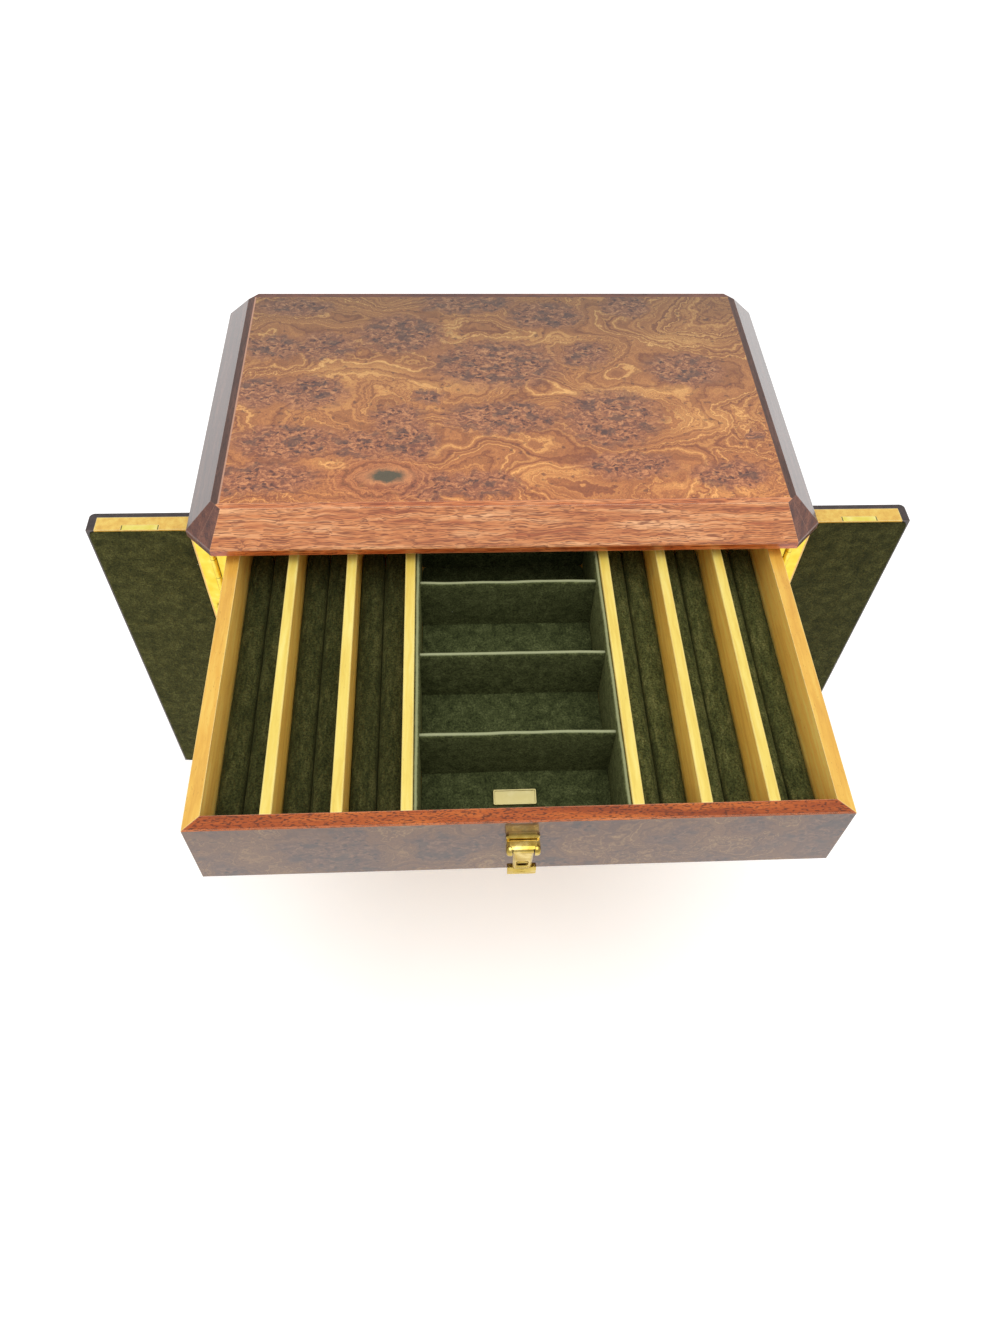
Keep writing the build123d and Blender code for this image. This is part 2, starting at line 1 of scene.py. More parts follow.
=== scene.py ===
"""The looks of a cufflink chest: veneered lid and doors, suede-lined drawers and brass fittings.

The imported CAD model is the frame. This script dresses its wooden and brass pieces with procedural
finishes, replaces its soft pieces with modelled and simulated ones, and adds the small fittings.
"""

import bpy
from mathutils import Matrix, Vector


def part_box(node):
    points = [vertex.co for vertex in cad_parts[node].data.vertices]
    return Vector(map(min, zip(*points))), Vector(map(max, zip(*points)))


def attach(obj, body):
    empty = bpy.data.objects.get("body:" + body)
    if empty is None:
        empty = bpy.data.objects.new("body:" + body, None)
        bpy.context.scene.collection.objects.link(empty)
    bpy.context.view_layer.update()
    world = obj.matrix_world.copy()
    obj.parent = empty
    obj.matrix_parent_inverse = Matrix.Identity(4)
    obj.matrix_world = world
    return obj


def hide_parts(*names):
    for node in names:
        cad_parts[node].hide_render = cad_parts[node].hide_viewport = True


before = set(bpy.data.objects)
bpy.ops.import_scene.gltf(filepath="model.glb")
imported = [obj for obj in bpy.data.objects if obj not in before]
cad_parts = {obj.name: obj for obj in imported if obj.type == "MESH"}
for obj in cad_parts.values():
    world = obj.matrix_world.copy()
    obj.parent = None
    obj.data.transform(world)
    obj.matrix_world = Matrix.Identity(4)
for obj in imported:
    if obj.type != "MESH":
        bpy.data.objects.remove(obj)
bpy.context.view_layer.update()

import logging
import math
from dataclasses import dataclass, replace
from enum import Enum

import bmesh
import bpy
from mathutils import Matrix, Vector, noise

LOG = logging.getLogger("chest")
MM = 0.001
Point, Pair = tuple[float, float, float], tuple[float, float]
Node, Material, Mesh = bpy.types.Node, bpy.types.Material, bmesh.types.BMesh
UP, ASIDE, BACKWARD = (0, 0, 1), (1, 0, 0), (0, 1, 0)


class Side(Enum):
    """The two sides of the chest, as seen by someone facing the drawers."""

    LEFT = -1
    RIGHT = 1


class Grain(Enum):
    """Which way a board's grain runs: the turn that brings it onto the pattern's own X axis."""

    ALONG_X = (0.0, 0.0, 0.0)
    ALONG_Y = (0.0, 0.0, -math.pi / 2)
    ALONG_Z = (0.0, math.pi / 2, 0.0)


# ---------------------------------------------------------------------------- colours and nodes
def linear(code: str) -> tuple[float, float, float, float]:
    """Turn an sRGB colour into the linear one that Blender works with.

    Args:
        code: the colour as six hex digits.
    Returns:
        Red, green, blue and an alpha of 1.
    """
    parts = [int(code[i:i + 2], 16) / 255 for i in (0, 2, 4)]
    return (*(p / 12.92 if p <= 0.04045 else ((p + 0.055) / 1.055) ** 2.4 for p in parts), 1.0)


class Graph:
    """A material under construction: its node tree and the place on the surface in millimetres."""

    SOCKETS = {"Mix": (0, 6, 7), "VectorMath SCALE": (0, "Scale"),
               "TexNoise": ("Vector", "Scale", "Detail", "Roughness", "Distortion")}
    MEASURES = ("DISTANCE", "LENGTH", "DOT_PRODUCT")

    def __init__(self, name: str) -> None:
        """Start a material.

        Args:
            name: its name.
        """
        self.material = bpy.data.materials.new(name)
        self.material.use_nodes = True
        self.tree = self.material.node_tree
        self.shader = self.tree.nodes["Principled BSDF"]
        coords = self.add("TexCoord").outputs
        self.normal = coords["Normal"]
        self.place = self.add("VectorMath SCALE", [coords["Object"], 1 / MM])

    def add(self, kind: str, inputs: list | tuple | dict = (), stops: list | None = None,
            **settings) -> Node:
        """Add one node with its settings and links.

        Args:
            kind: the node's type, without ShaderNode, and then its operation if it has one.
            inputs: values, hex colours, nodes or sockets, either by input or in SOCKETS' order.
            stops: places and hex colours of a colour ramp.
            settings: the node's own properties.
        Returns:
            The new node.
        """
        node_type, _, operation = kind.partition(" ")
        node = self.tree.nodes.new(f"ShaderNode{node_type}")
        if operation:
            node.operation = operation
        if kind == "Mix":
            node.data_type = "RGBA"
        for name, value in settings.items():
            setattr(node, name, value)
        if not isinstance(inputs, dict):
            inputs = dict(zip(self.SOCKETS.get(kind, range(5)), inputs))
        for key, value in inputs.items():
            self.join(node.inputs[key], value)
        if stops:
            ramp = node.color_ramp.elements
            ramp.remove(ramp[1])
            ramp[0].position, ramp[0].color = stops[0][0], linear(stops[0][1])
            for place, code in stops[1:]:
                ramp.new(place).color = linear(code)
        return node

    def join(self, socket: bpy.types.NodeSocket, value: object) -> None:
        """Set an input, or link it.

        Args:
            socket: the input.
            value: a value, a hex colour, a socket or a node, which stands for its result.
        """
        if isinstance(value, Node):
            measured = getattr(value, "operation", "") in self.MEASURES
            value = value.outputs[2 if value.bl_idname == "ShaderNodeMix" else int(measured)]
        if isinstance(value, bpy.types.NodeSocket):
            self.tree.links.new(value, socket)
        else:
            socket.default_value = linear(value) if isinstance(value, str) else value

    def facing(self, way: Point, start: float, full: float, most: float = 1.0,
               either: bool = True) -> Node:
        """Tell how much a face looks one way.

        Args:
            way: the direction.
            start: how much of it a face needs for the result to leave 0.
            full: how much it needs for the whole result.
            most: the whole result.
            either: whether the opposite way counts as well.
        Returns:
            The node that gives the result.
        """
        turned = self.add("VectorMath ABSOLUTE", [self.normal]) if either else self.normal
        share = self.add("VectorMath DOT_PRODUCT", [turned, way])
        return self.add("MapRange", [share, start, full, 0.0, most])

    def finish(self, relief: tuple = (), **sockets) -> Material:
        """Feed the shader.

        Args:
            relief: the fine relief to the touch: its grain in mm, detail, strength, depth in mm.
            sockets: the shader's inputs, with underscores for spaces.
        Returns:
            The finished material.
        """
        if relief:
            grain, detail, strength, depth = relief
            height = self.add("TexNoise", [self.place, 1 / grain, detail])
            sockets["Normal"] = self.add("Bump", {"Height": height, "Strength": strength,
                                                  "Distance": depth * MM})
        for name, value in sockets.items():
            self.join(self.shader.inputs[name.replace("_", " ")], value)
        return self.material


# ---------------------------------------------------------------------------- finishes
# spots in the burl's figure on the lid: the middle, and half the width and depth, in mm.
# Here the eyes of the burl crowd together:
EYE_CLUSTERS = (
    (-133, 84, 30, 10), (-143, 42, 22, 14), (-109, 43, 20, 16), (-62, 55, 32, 22),
    (-18, 88, 36, 12), (33, 74, 28, 16), (88, 84, 18, 14), (-2, 24, 46, 26), (56, 33, 18, 14),
    (118, 18, 28, 18), (-148, -2, 18, 16), (-116, -2, 26, 16), (-44, -7, 10, 8),
    (-63, -26, 18, 14), (-127, -46, 36, 17), (-82, -49, 24, 14), (0, -26, 40, 16),
    (-54, -47, 20, 18), (66, -27, 34, 28), (-138, -76, 36, 14), (-46, -82, 22, 13),
    (-14, -82, 24, 12), (72, -68, 32, 12), (131, -76, 26, 12), (150, -43, 6, 6),
)
# and here the figure opens into pale golden flow:
GOLD_FLOWS = (
    (-88, 18, 40, 10), (-30, 3, 46, 8), (78, -3, 60, 8), (122, -30, 40, 12), (118, -88, 38, 8),
    (24, -74, 30, 12), (-26, 58, 10, 18), (20, 50, 40, 7), (-100, -66, 14, 8), (120, 48, 34, 10),
)
BIG_EYE = (-72.0, -77.0, 310.0)
BIG_EYE_CORE = (-68.0, -75.0, 310.0)


@dataclass(frozen=True)
class BurlVeneer:
    """Burl veneer under polished lacquer: clustered dark eyes, growth lines and golden flow."""

    name: str
    figured_lid: bool = False
    backing: "WoodFinish | None" = None
    shown_along: Point = (0.0, 0.0, 0.0)
    back_edge: "WoodFinish | None" = None
    depth: float = 1.3          # brightness scale of the sheet; its low value on the drawer fronts is painted shade
    gloss: float = 1.0          # weight of the lacquer coat

    def material(self) -> Material:
        """Build the material. Returns: the burl, with its backing wood on the other faces."""
        graph = Graph(self.name)
        color = self.color(graph)
        if self.backing:
            wood = self.backing.color(graph)
            if self.back_edge:
                behind = graph.facing(BACKWARD, 0.85, 0.9, either=False)
                wood = graph.add("Mix", [behind, wood, self.back_edge.color(graph)])
            shown = graph.facing(self.shown_along, 0.85, 0.9, either=False)
            color = graph.add("Mix", [shown, wood, color])
        # lacquer, cut back and polished: a clear coat over softly shining wood
        return graph.finish((9.0, 1.0, 0.05, 0.2), Base_Color=color, Roughness=0.4,
                            Specular_IOR_Level=0.15, Coat_Weight=self.gloss, Coat_Roughness=0.06)

    @staticmethod
    def nearest(graph: Graph, place: Node, spots: tuple) -> Node:
        """Add the distance to the nearest of some spots, 1 at a spot's rim.

        Args:
            graph: the material being made.
            place: the place, already warped, in mm.
            spots: the spots.
        Returns:
            The distance's last node.
        """
        found = None
        for x, y, half_x, half_y in spots:
            scaled = graph.add("VectorMath MULTIPLY", [place, (1 / half_x, 1 / half_y, 0.0)])
            far = graph.add("VectorMath DISTANCE", [scaled, (x / half_x, y / half_y, 0.0)])
            found = far if found is None else graph.add("Math SMOOTH_MIN", [found, far, 0.25])
        return found

    def color(self, graph: Graph) -> Node:
        """Add the burl's colour.

        Args:
            graph: the material being made.
        Returns:
            The node that gives the colour.
        """
        add, place = graph.add, graph.place

        def bent(start: Node, by: Node, reach: float) -> Node:
            """Give places moved by a noise, by up to half the reach each way."""
            stray = add("VectorMath MULTIPLY_ADD", [by.outputs[1], (reach,) * 3, (-reach / 2,) * 3])
            return add("VectorMath", [start, stray])

        # the figure is bent twice, widely and closely, so that nothing in it is round or straight
        wide = add("TexNoise", [place, 1 / 40.0, 1.0])
        close = add("TexNoise", [place, 1 / 7.5, 3.0, 0.62])
        small = bent(place, close, 9.0)
        flow = bent(small, wide, 30.0)
        ragged = bent(place, close, 17.0)
        soft = {"interpolation_type": "SMOOTHSTEP"}
        if self.figured_lid:
            near = self.nearest(graph, ragged, EYE_CLUSTERS)
            crowd = add("MapRange", [near, 1.12, 0.55], **soft)
            bright = add("MapRange", [self.nearest(graph, ragged, GOLD_FLOWS), 1.2, 0.4], **soft)
        else:
            patch = add("TexNoise", [ragged, 1 / 34.0, 1.0])
            near = add("MapRange", [patch, 0.68, 0.30, 0.0, 2.6])
            crowd = add("MapRange", [patch, 0.49, 0.60], **soft)
            bright = add("MapRange", [patch, 0.44, 0.34])
        # growth bands follow the edges of the eye patches; a one-way noise makes them uneven
        drawn = add("VectorMath MULTIPLY", [flow, (0.5, 1.0, 1.0)])
        lay = add("Math MULTIPLY", [add("TexNoise", [drawn, 1 / 46.0, 1.0, 0.3]), 17.0])
        phase = add("Math MULTIPLY_ADD", [near, 1.5, lay])
        bands = add("TexNoise", {"W": phase, "Scale": 2.2, "Detail": 4.0, "Roughness": 0.62},
                    noise_dimensions="1D")
        shift = add("Math MULTIPLY_ADD", [bright, 0.12, bands])
        shift = add("Math MULTIPLY_ADD", [crowd, -0.09, shift])
        color = add("ValToRGB", [shift], [(0.28, "74462F"), (0.42, "8A5938"), (0.52, "9E6A41"),
                                          (0.64, "B4824E"), (0.78, "CC9D62")])
        hair = add("TexNoise", {"W": phase, "Scale": 7.5, "Detail": 1.0}, noise_dimensions="1D")
        off = add("Math ABSOLUTE", [add("Math SUBTRACT", [hair, 0.5])])
        color = add("Mix", [add("MapRange", [off, 0.045, 0.012, 0.0, 0.34]), color, "64402A"])
        # the ground of a patch is purplish, with a few deep hearts
        color = add("Mix", [add("Math MULTIPLY", [crowd, 0.5]), color, "7F5042"])
        oval = add("VectorMath MULTIPLY", [small, (0.66, 1.15, 1.0)])
        hearts = add("MapRange", [add("TexNoise", [oval, 1 / 7.0, 2.0]), 0.53, 0.62])
        hearts = add("Math MULTIPLY", [add("Math MULTIPLY", [hearts, crowd]), 0.66])
        # the patches are mottled, wider than deep: dark hollows between pale curls
        mottle = add("TexNoise", [oval, 1 / 2.1, 2.5, 0.5, 0.5])
        curls = add("ValToRGB", [mottle], [(0.35, "BE8D64"), (0.45, "9C6D4E"), (0.54, "80563F"),
                                           (0.64, "5A3C36")])
        color = add("Mix", [add("Math MULTIPLY", [crowd, 0.62]), color, curls])
        # the eyes themselves: dark cores about 4 mm apart, not all of them drawn
        cells = add("TexVoronoi", {"Vector": oval, "Scale": 1 / 2.9}).outputs
        core = add("MapRange", [cells["Distance"], 0.46, 0.26, 0.0, 0.9])
        picked = add("SeparateColor", [cells["Color"]])
        chosen = add("MapRange", [picked, 0.3, 0.6])
        # a few stray from the patches
        strayed = add("MapRange", [picked, 0.86, 0.9, 0.0, 0.6])
        dark = add("Math MULTIPLY", [core, add("Math MAXIMUM", [crowd, strayed])])
        dark = add("Math MULTIPLY", [dark, chosen])
        color = add("Mix", [dark, color, "432A2A"])
        color = add("Mix", [hearts, color, "4B3A38"])
        if self.figured_lid:
            # then paint light onto the lid's sheet: a painted reflection and a painted edge
            # highlight
            color = self.paint_lid_light(graph, self.big_eye(graph, ragged, small, color))
        # short fibres, drawn 0.8 mm apart so that they show
        fibre = add("TexNoise", [flow, 1 / 0.8, 2.0])
        # the brightness scale paints shade on the drawer fronts
        fine = add("MapRange", [fibre, 0.3, 0.7, 0.86 * self.depth, 1.14 * self.depth])
        return add("VectorMath SCALE", [color, fine])

    @staticmethod
    def paint_lid_light(graph: Graph, color: Node) -> Node:
        """Paint the lid's sheet with a painted reflection: deeper and greyer at the back, redder at
        the front.

        Args:
            graph: the material being made.
            color: the colour so far.
        Returns:
            The colour with painted reflection and highlight.
        """
        split = graph.add("SeparateXYZ", [graph.place]).outputs
        # painted reflection: the sheet tinted greyer and deeper towards the back, redder at the
        # front
        reflection_tint = graph.add("ValToRGB", [graph.add("MapRange", [split["Y"], -95.0, 95.0])],
                         [(0.0, "F6E2D2"), (0.45, "E6E0D8"), (1.0, "B6BEBF")])
        lit_sheet = graph.add("VectorMath MULTIPLY", [color, reflection_tint])
        # and the whole sheet painted brighter
        lit_sheet = graph.add("VectorMath SCALE", [lit_sheet, 1.75])
        # a thin pale line along the left edge of the sheet: a painted highlight on its edge
        edge = graph.add("MapRange", [split["X"], -159.0, -159.2])
        return graph.add("Mix", [edge, lit_sheet, "BE8E74"])

    @staticmethod
    def big_eye(graph: Graph, ragged: Node, place: Node, color: Node) -> Node:
        """Add the one large eye at the lid's front left, with uneven rings round a grey-green core.

        Args:
            graph: the material being made.
            ragged: the place, strongly warped, in mm.
            place: the place, gently warped, in mm.
            color: the colour so far.
        Returns:
            The colour with the eye in it.
        """
        add = graph.add
        offset = add("VectorMath SUBTRACT", [add("Mix", [0.5, ragged, place]), BIG_EYE])
        far = add("VectorMath LENGTH", [add("VectorMath MULTIPLY", [offset, (0.8, 1.2, 1.0)])])
        rings = add("TexNoise", {"W": far, "Scale": 0.34, "Detail": 3.0, "Roughness": 0.6},
                    noise_dimensions="1D")
        rings = add("ValToRGB", [rings], [(0.38, "5C3426"), (0.5, "8C563A"), (0.62, "B27D50")])
        within = add("MapRange", [far, 32.0, 15.0, 0.0, 0.68], interpolation_type="SMOOTHSTEP")
        color = add("Mix", [within, color, rings])
        offset = add("VectorMath SUBTRACT", [place, BIG_EYE_CORE])
        reach = add("VectorMath LENGTH", [add("VectorMath MULTIPLY", [offset, (0.62, 1.5, 1.0)])])
        color = add("Mix", [add("MapRange", [reach, 13.0, 8.0, 0.0, 0.5]), color, "B4835C"])
        return add("Mix", [add("MapRange", [reach, 8.5, 4.5, 0.0, 0.95]), color, "3F443A"])


@dataclass(frozen=True)
class WoodFinish:
    """A planed, sanded and lacquered solid wood: figure along the grain, and pores or flecks."""

    name: str
    tones: tuple
    pore: str
    pore_mm: float              # length of one pore dash
    pore_share: float           # noise level above which there is a pore, so lower is denser
    pore_depth: float           # how strongly the pores are coloured
    arris_wear_and_highlight: str                  # colour of the pale edges: rubbed wear with a painted highlight
    pore_wide_mm: float = 0.6
    gloss: float = 0.35         # weight of the lacquer coat
    roughness: float = 0.42
    grain: Grain = Grain.ALONG_X

    def along(self, grain: Grain) -> "WoodFinish":
        """Give this wood with its grain along an axis."""
        return replace(self, name=f"{self.name}_{grain.name.lower()}", grain=grain)

    def color(self, graph: Graph) -> Node:
        """Add the wood's colour.

        Args:
            graph: the material being made.
        Returns:
            The node that gives the colour.
        """
        add = graph.add
        turned = add("Mapping", {"Vector": graph.place, "Rotation": self.grain.value})
        wander = add("TexNoise", [turned, 1 / 16.0, 2.0]).outputs[1]
        bend = add("VectorMath MULTIPLY", [wander, (0.0, 3.2, 3.2)])
        along = add("VectorMath", [turned, bend])
        slow = add("VectorMath MULTIPLY", [along, (1 / 60.0, 1 / 4.0, 1 / 4.0)])
        figure = add("TexNoise", [slow, 1.0, 4.0, 0.65])
        color = add("ValToRGB", [figure], [*zip((0.34, 0.5, 0.66), self.tones)])
        wide = 1 / self.pore_wide_mm
        dashes = add("VectorMath MULTIPLY", [along, (1 / self.pore_mm, wide, wide)])
        deep = add("MapRange", [add("TexNoise", [dashes, 1.0, 1.0]), self.pore_share,
                                self.pore_share + 0.09, 0.0, self.pore_depth])
        color = add("Mix", [deep, color, self.pore])
        # handling and light have aged it unevenly
        aged = add("TexNoise", [turned, 1 / 38.0, 2.0])
        aged = add("MapRange", [aged, 0.36, 0.62, 1.0, 0.0])
        worn = add("VectorMath MULTIPLY", [color, (0.975, 0.935, 0.86)])
        color = add("Mix", [aged, color, worn])
        # the arrises are paler: rubbed wear and a painted highlight
        eased = add("Bevel", {"Radius": 0.8 * MM}, samples=4)
        turn = add("VectorMath DOT_PRODUCT", [eased, add("NewGeometry").outputs["Normal"]])
        return add("Mix", [add("MapRange", [turn, 0.985, 0.9, 0.0, 0.6]), color, self.arris_wear_and_highlight])

    def lacquer(self, graph: Graph, color: Node) -> Material:
        """Finish a colour with this wood's relief and lacquer. Returns: the material."""
        return graph.finish((0.9, 2.0, 0.12, 0.1), Base_Color=color, Roughness=self.roughness,
                            Coat_Weight=self.gloss, Coat_Roughness=0.1)

    def material(self) -> Material:
        """Build the material. Returns: the lacquered wood."""
        graph = Graph(self.name)
        return self.lacquer(graph, self.color(graph))


@dataclass(frozen=True)
class TwoTones:
    """One piece of wood in two tones by which way a face looks, as a stained edge is, with painted
    light and shade on its upright and level faces.
    """

    name: str
    straight: WoodFinish
    other: WoodFinish
    toward: Point               # the other tone is on faces that look this way, either side
    upright_painted_light: Point = (1.0, 1.0, 1.0)      # painted light and shade: what the upright faces' colour is multiplied by
    level_painted_light: Point = (1.0, 1.0, 1.0)      # and that of the level ones, painted light and shade too

    def material(self) -> Material:
        """Build the material. Returns: the lacquered wood."""
        graph = Graph(self.name)
        add = graph.add
        color = add("Mix", [graph.facing(self.toward, 0.2, 0.3), self.straight.color(graph),
                            self.other.color(graph)])
        # painted light and shade: upright and level faces tinted for how light falls on them
        upright_lit = add("VectorMath MULTIPLY", [color, self.upright_painted_light])
        level_lit = add("VectorMath MULTIPLY", [color, self.level_painted_light])
        color = add("Mix", [graph.facing(UP, 0.3, 0.2), color, upright_lit])
        color = add("Mix", [graph.facing(UP, 0.9, 0.96), color, level_lit])
        return self.straight.lacquer(graph, color)


@dataclass(frozen=True)
class Suede:
    """Pigskin suede: short nap that turns light or dark with how it was last brushed."""

    name: str
    shades: tuple               # dark, middle and light nap
    brushed_mm: float           # size of the brushed marks
    lint: float = 1.0
    rubbed_lit_nap: str = ""            # colour of the nap on faces that look up, over a top edge: rubbed nap and painted light
    stroke: Point = (1.0, 1.0, 1.0)     # how the brushed marks are drawn out
    right_half_painted_light: float = 1.0     # how much paler the chest's right half is painted: painted light above 1, painted shade below

    def material(self) -> Material:
        """Build the material. Returns: the napped suede."""
        graph = Graph(self.name)
        add, place = graph.add, graph.place
        drawn = add("VectorMath MULTIPLY", [place, self.stroke])
        marks = add("TexNoise", [drawn, 1 / self.brushed_mm, 6.0, 0.78, 0.4])
        color = add("ValToRGB", [marks], [*zip((0.34, 0.5, 0.66), self.shades)])
        # tufts of nap, drawn 1.1 mm across so that they show
        tufts = add("TexNoise", [place, 1 / 1.1, 3.0, 0.85])
        tufts = add("MapRange", [tufts, 0.34, 0.66, 0.35, 1.7])
        color = add("VectorMath SCALE", [color, tufts])
        # painted light and shade: the right half's colour scaled
        half = add("MapRange", [add("SeparateXYZ", [place]), -40.0, 40.0, 1.0, self.right_half_painted_light])
        color = add("VectorMath SCALE", [color, half])
        if self.rubbed_lit_nap:
            # faces that look up turn paler: rubbed nap and painted light
            fold_wear_and_light = graph.facing(UP, 0.72, 0.97, 0.8, either=False)
            color = add("Mix", [fold_wear_and_light, color, self.rubbed_lit_nap])
        # a few white specks of lint, 0.4 mm across and about 25 mm apart
        specks = add("TexVoronoi", {"Vector": place, "Scale": 1 / 25.0}).outputs["Distance"]
        color = add("Mix", [add("MapRange", [specks, 0.018, 0.010, 0.0, self.lint]), color,
                            "D9DCCB"])
        return graph.finish((0.5, 3.0, 0.7, 0.35), Base_Color=color, Roughness=0.95,
                            Specular_IOR_Level=0.12, Sheen_Weight=0.22, Sheen_Roughness=0.4,
                            Sheen_Tint="8C8C52")


@dataclass(frozen=True)
class PolishedBrass:
    """Cast or rolled brass, buffed bright: yellow metal, with tarnish left in its hollows."""

    name: str
    tones: tuple
    rough: tuple
    sides: float = 0.0          # how much darker faces that look aside are painted: a painted reflection of darker surroundings
    gap_shadow_mm: tuple = ()       # middle and half width of a let-in plate whose ends get a painted shadow of the gap

    def material(self) -> Material:
        """Build the material. Returns: the metal, with painted shadow lines at its ends if it is
        let in.
        """
        graph = Graph(self.name)
        add, place = graph.add, graph.place
        smear = add("TexNoise", [place, 1 / 6.0, 2.0])
        color = add("ValToRGB", [smear], [*zip((0.3, 0.55, 0.75), self.tones)])
        hollow = add("AmbientOcclusion", {"Distance": 1.2 * MM}, samples=4).outputs["AO"]
        # painted reflection: faces that look aside darker
        if self.sides:
            color = add("Mix", [graph.facing(ASIDE, 0.35, 0.8, self.sides), color, "6A5014"])
        color = add("Mix", [add("MapRange", [hollow, 0.75, 0.35, 0.0, 0.9]), color, "4A380C"])
        # painted shadow of the gap at the let-in plate's ends
        if self.gap_shadow_mm:
            middle, half = self.gap_shadow_mm
            offset = add("VectorMath", [add("VectorMath ABSOLUTE", [place]), (-middle, 0.0, 0.0)])
            across = add("SeparateXYZ", [add("VectorMath ABSOLUTE", [offset])])
            rim = add("MapRange", [across, half - 0.7, half - 0.5, 0.0, 0.85])
            color = add("Mix", [rim, color, "4A3A10"])
        rough = add("MapRange", [smear, 0.3, 0.7, *self.rough])
        return graph.finish((0.7, 2.0, 0.05, 0.1), Base_Color=color, Metallic=1.0, Roughness=rough)


@dataclass(frozen=True)
class NickelPlate:
    """Nickel plating on a magnet: pale grey metal, faintly brushed."""

    name: str

    def material(self) -> Material:
        """Build the material. Returns: the plated metal."""
        graph = Graph(self.name)
        brushed = graph.add("TexNoise", [graph.place, 1 / 0.8, 2.0])
        color = graph.add("ValToRGB", [brushed], [(0.3, "8E8F92"), (0.7, "B9BABD")])
        return graph.finish(Base_Color=color, Metallic=1.0, Roughness=0.32)


@dataclass(frozen=True)
class PaleFloor:
    """A plain sheet of white acrylic, lit faintly from below so that shadows stay pale."""

    name: str
    glow: float = 0.26

    def material(self) -> Material:
        """Build the material. Returns: the matt floor."""
        graph = Graph(self.name)
        mottle = graph.add("TexNoise", [graph.place, 1 / 60.0])
        color = graph.add("ValToRGB", [mottle], [(0.3, "F8F8F8"), (0.7, "FAFAFA")])
        return graph.finish(Base_Color=color, Roughness=0.9, Specular_IOR_Level=0.2,
                            Emission_Color="FFFFFF", Emission_Strength=self.glow)


Finish = BurlVeneer | WoodFinish | TwoTones | Suede | PolishedBrass | NickelPlate | PaleFloor

# solid mahogany under lacquer: orange-brown, with long dark open pores
MAHOGANY = WoodFinish("mahogany", ("B46238", "DC8E56", "F8BA86"), "824428", 12.0, 0.50, 0.82,
                      "F6CDAE", 0.45, 0.6, 0.34)
# mahogany stained dark before lacquering: deep reddish brown, with nearly black short pores
STAINED = WoodFinish("stained_mahogany", ("452C25", "56382E", "684539"), "2E1B18", 5.0, 0.54,
                     0.6, "8A5B48", 0.5, 0.5, 0.32)
# the same for the lid's corners: a warmer reddish brown
CORNER = replace(STAINED, name="stained_corner", tones=("53302A", "6A3E30", "80503E"),
                 arris_wear_and_highlight="9A6A54")
DOOR_EDGE = replace(STAINED, name="stained_door_edge", tones=("2C2423", "3A2F2E", "483A37"),
                    pore="1E1716", arris_wear_and_highlight="6E5E58", grain=Grain.ALONG_Z)
# mahogany lipping, oiled and lacquered: strong orange-red, with short dark pores
LIPPING = WoodFinish("mahogany_lipping", ("924014", "B2551C", "CA6C2A"), "4E2210", 2.2, 0.53,
                     0.8, "E0A27C")
# solid maple under thin satin lacquer: honey yellow, with short brown flecks
MAPLE = WoodFinish("maple", ("E0A842", "EDB94C", "F4C95C"), "B07A2C", 2.4, 0.66, 0.45, "FBE9A2")
MAPLE_X, MAPLE_Y, MAPLE_Z = (MAPLE.along(grain) for grain in Grain)
# straight-grained maple for thin strips: clear pale yellow, with few flecks
PALE_MAPLE = WoodFinish("maple_strips", ("E9CB58", "F3DA68", "F8E57E"), "C29A3C", 2.4, 0.70,
                        0.35, "FFF3B4", grain=Grain.ALONG_Y)
STAINED_Y, CORNER_Y = STAINED.along(Grain.ALONG_Y), CORNER.along(Grain.ALONG_Y)
# its upright edges painted dark and its level bands painted darker and redder: painted shade
CANTED_X = TwoTones("mahogany_with_stained_corners", MAHOGANY, CORNER_Y, ASIDE,
                    (0.75, 0.42, 0.24), (0.94, 0.78, 0.66))
BACK_X = TwoTones("stained_mahogany_back", CORNER, CORNER_Y, ASIDE)
SIDES_Y = TwoTones("stained_mahogany_sides", STAINED_Y, CORNER_Y, BACKWARD)
# the door cores' level tops painted paler and yellower: painted light
CORES_Z = TwoTones("maple_door_cores", MAPLE_Z, MAPLE_Z, UP, level_painted_light=(0.96, 1.07, 1.3))
# upright faces of the strips and walls painted lighter: painted light
STRIPS_Y = TwoTones("maple_strips", MAPLE_Y, PALE_MAPLE, UP, (1.3, 1.56, 2.2))
WALLS_Y = TwoTones("maple_walls", MAPLE_Y, MAPLE_Y, UP, (1.34, 1.64, 2.6))
BURL_LID = BurlVeneer("burl_veneer_lid", figured_lid=True, depth=1.0)
# the drawer fronts painted darker: painted shade on their upright faces
BURL_FRONT = BurlVeneer("burl_veneer_drawer_front", backing=LIPPING, shown_along=(0, -1, 0),
                        depth=0.42, gloss=0.75)
BURL_DOOR = BurlVeneer("burl_veneer_door", backing=DOOR_EDGE, shown_along=BACKWARD)
BURL_BACK = BurlVeneer("burl_veneer_back", backing=MAPLE_Z, shown_along=BACKWARD)
BURL_SIDES = {side: BurlVeneer(f"burl_veneer_{side.name.lower()}", backing=MAPLE_Z,
                               shown_along=(side.value, 0, 0),
                               back_edge=STAINED.along(Grain.ALONG_Z)) for side in Side}
# the right-hand rolls painted paler: painted light
SUEDE_ROLLS = Suede("suede_rolls", ("252A15", "383C20", "4D4F2E"), 5.5, lint=0.9,
                    right_half_painted_light=1.65, stroke=(1.5, 0.4, 1.0))
SUEDE_TRAY = Suede("suede_tray", ("30361D", "464C2C", "5C623D"), 6.0)
SUEDE_EDGE = Suede("suede_dividers", ("373C20", "4D5230", "616640"), 5.0, lint=0.5,
                   rubbed_lit_nap="B2B68E")
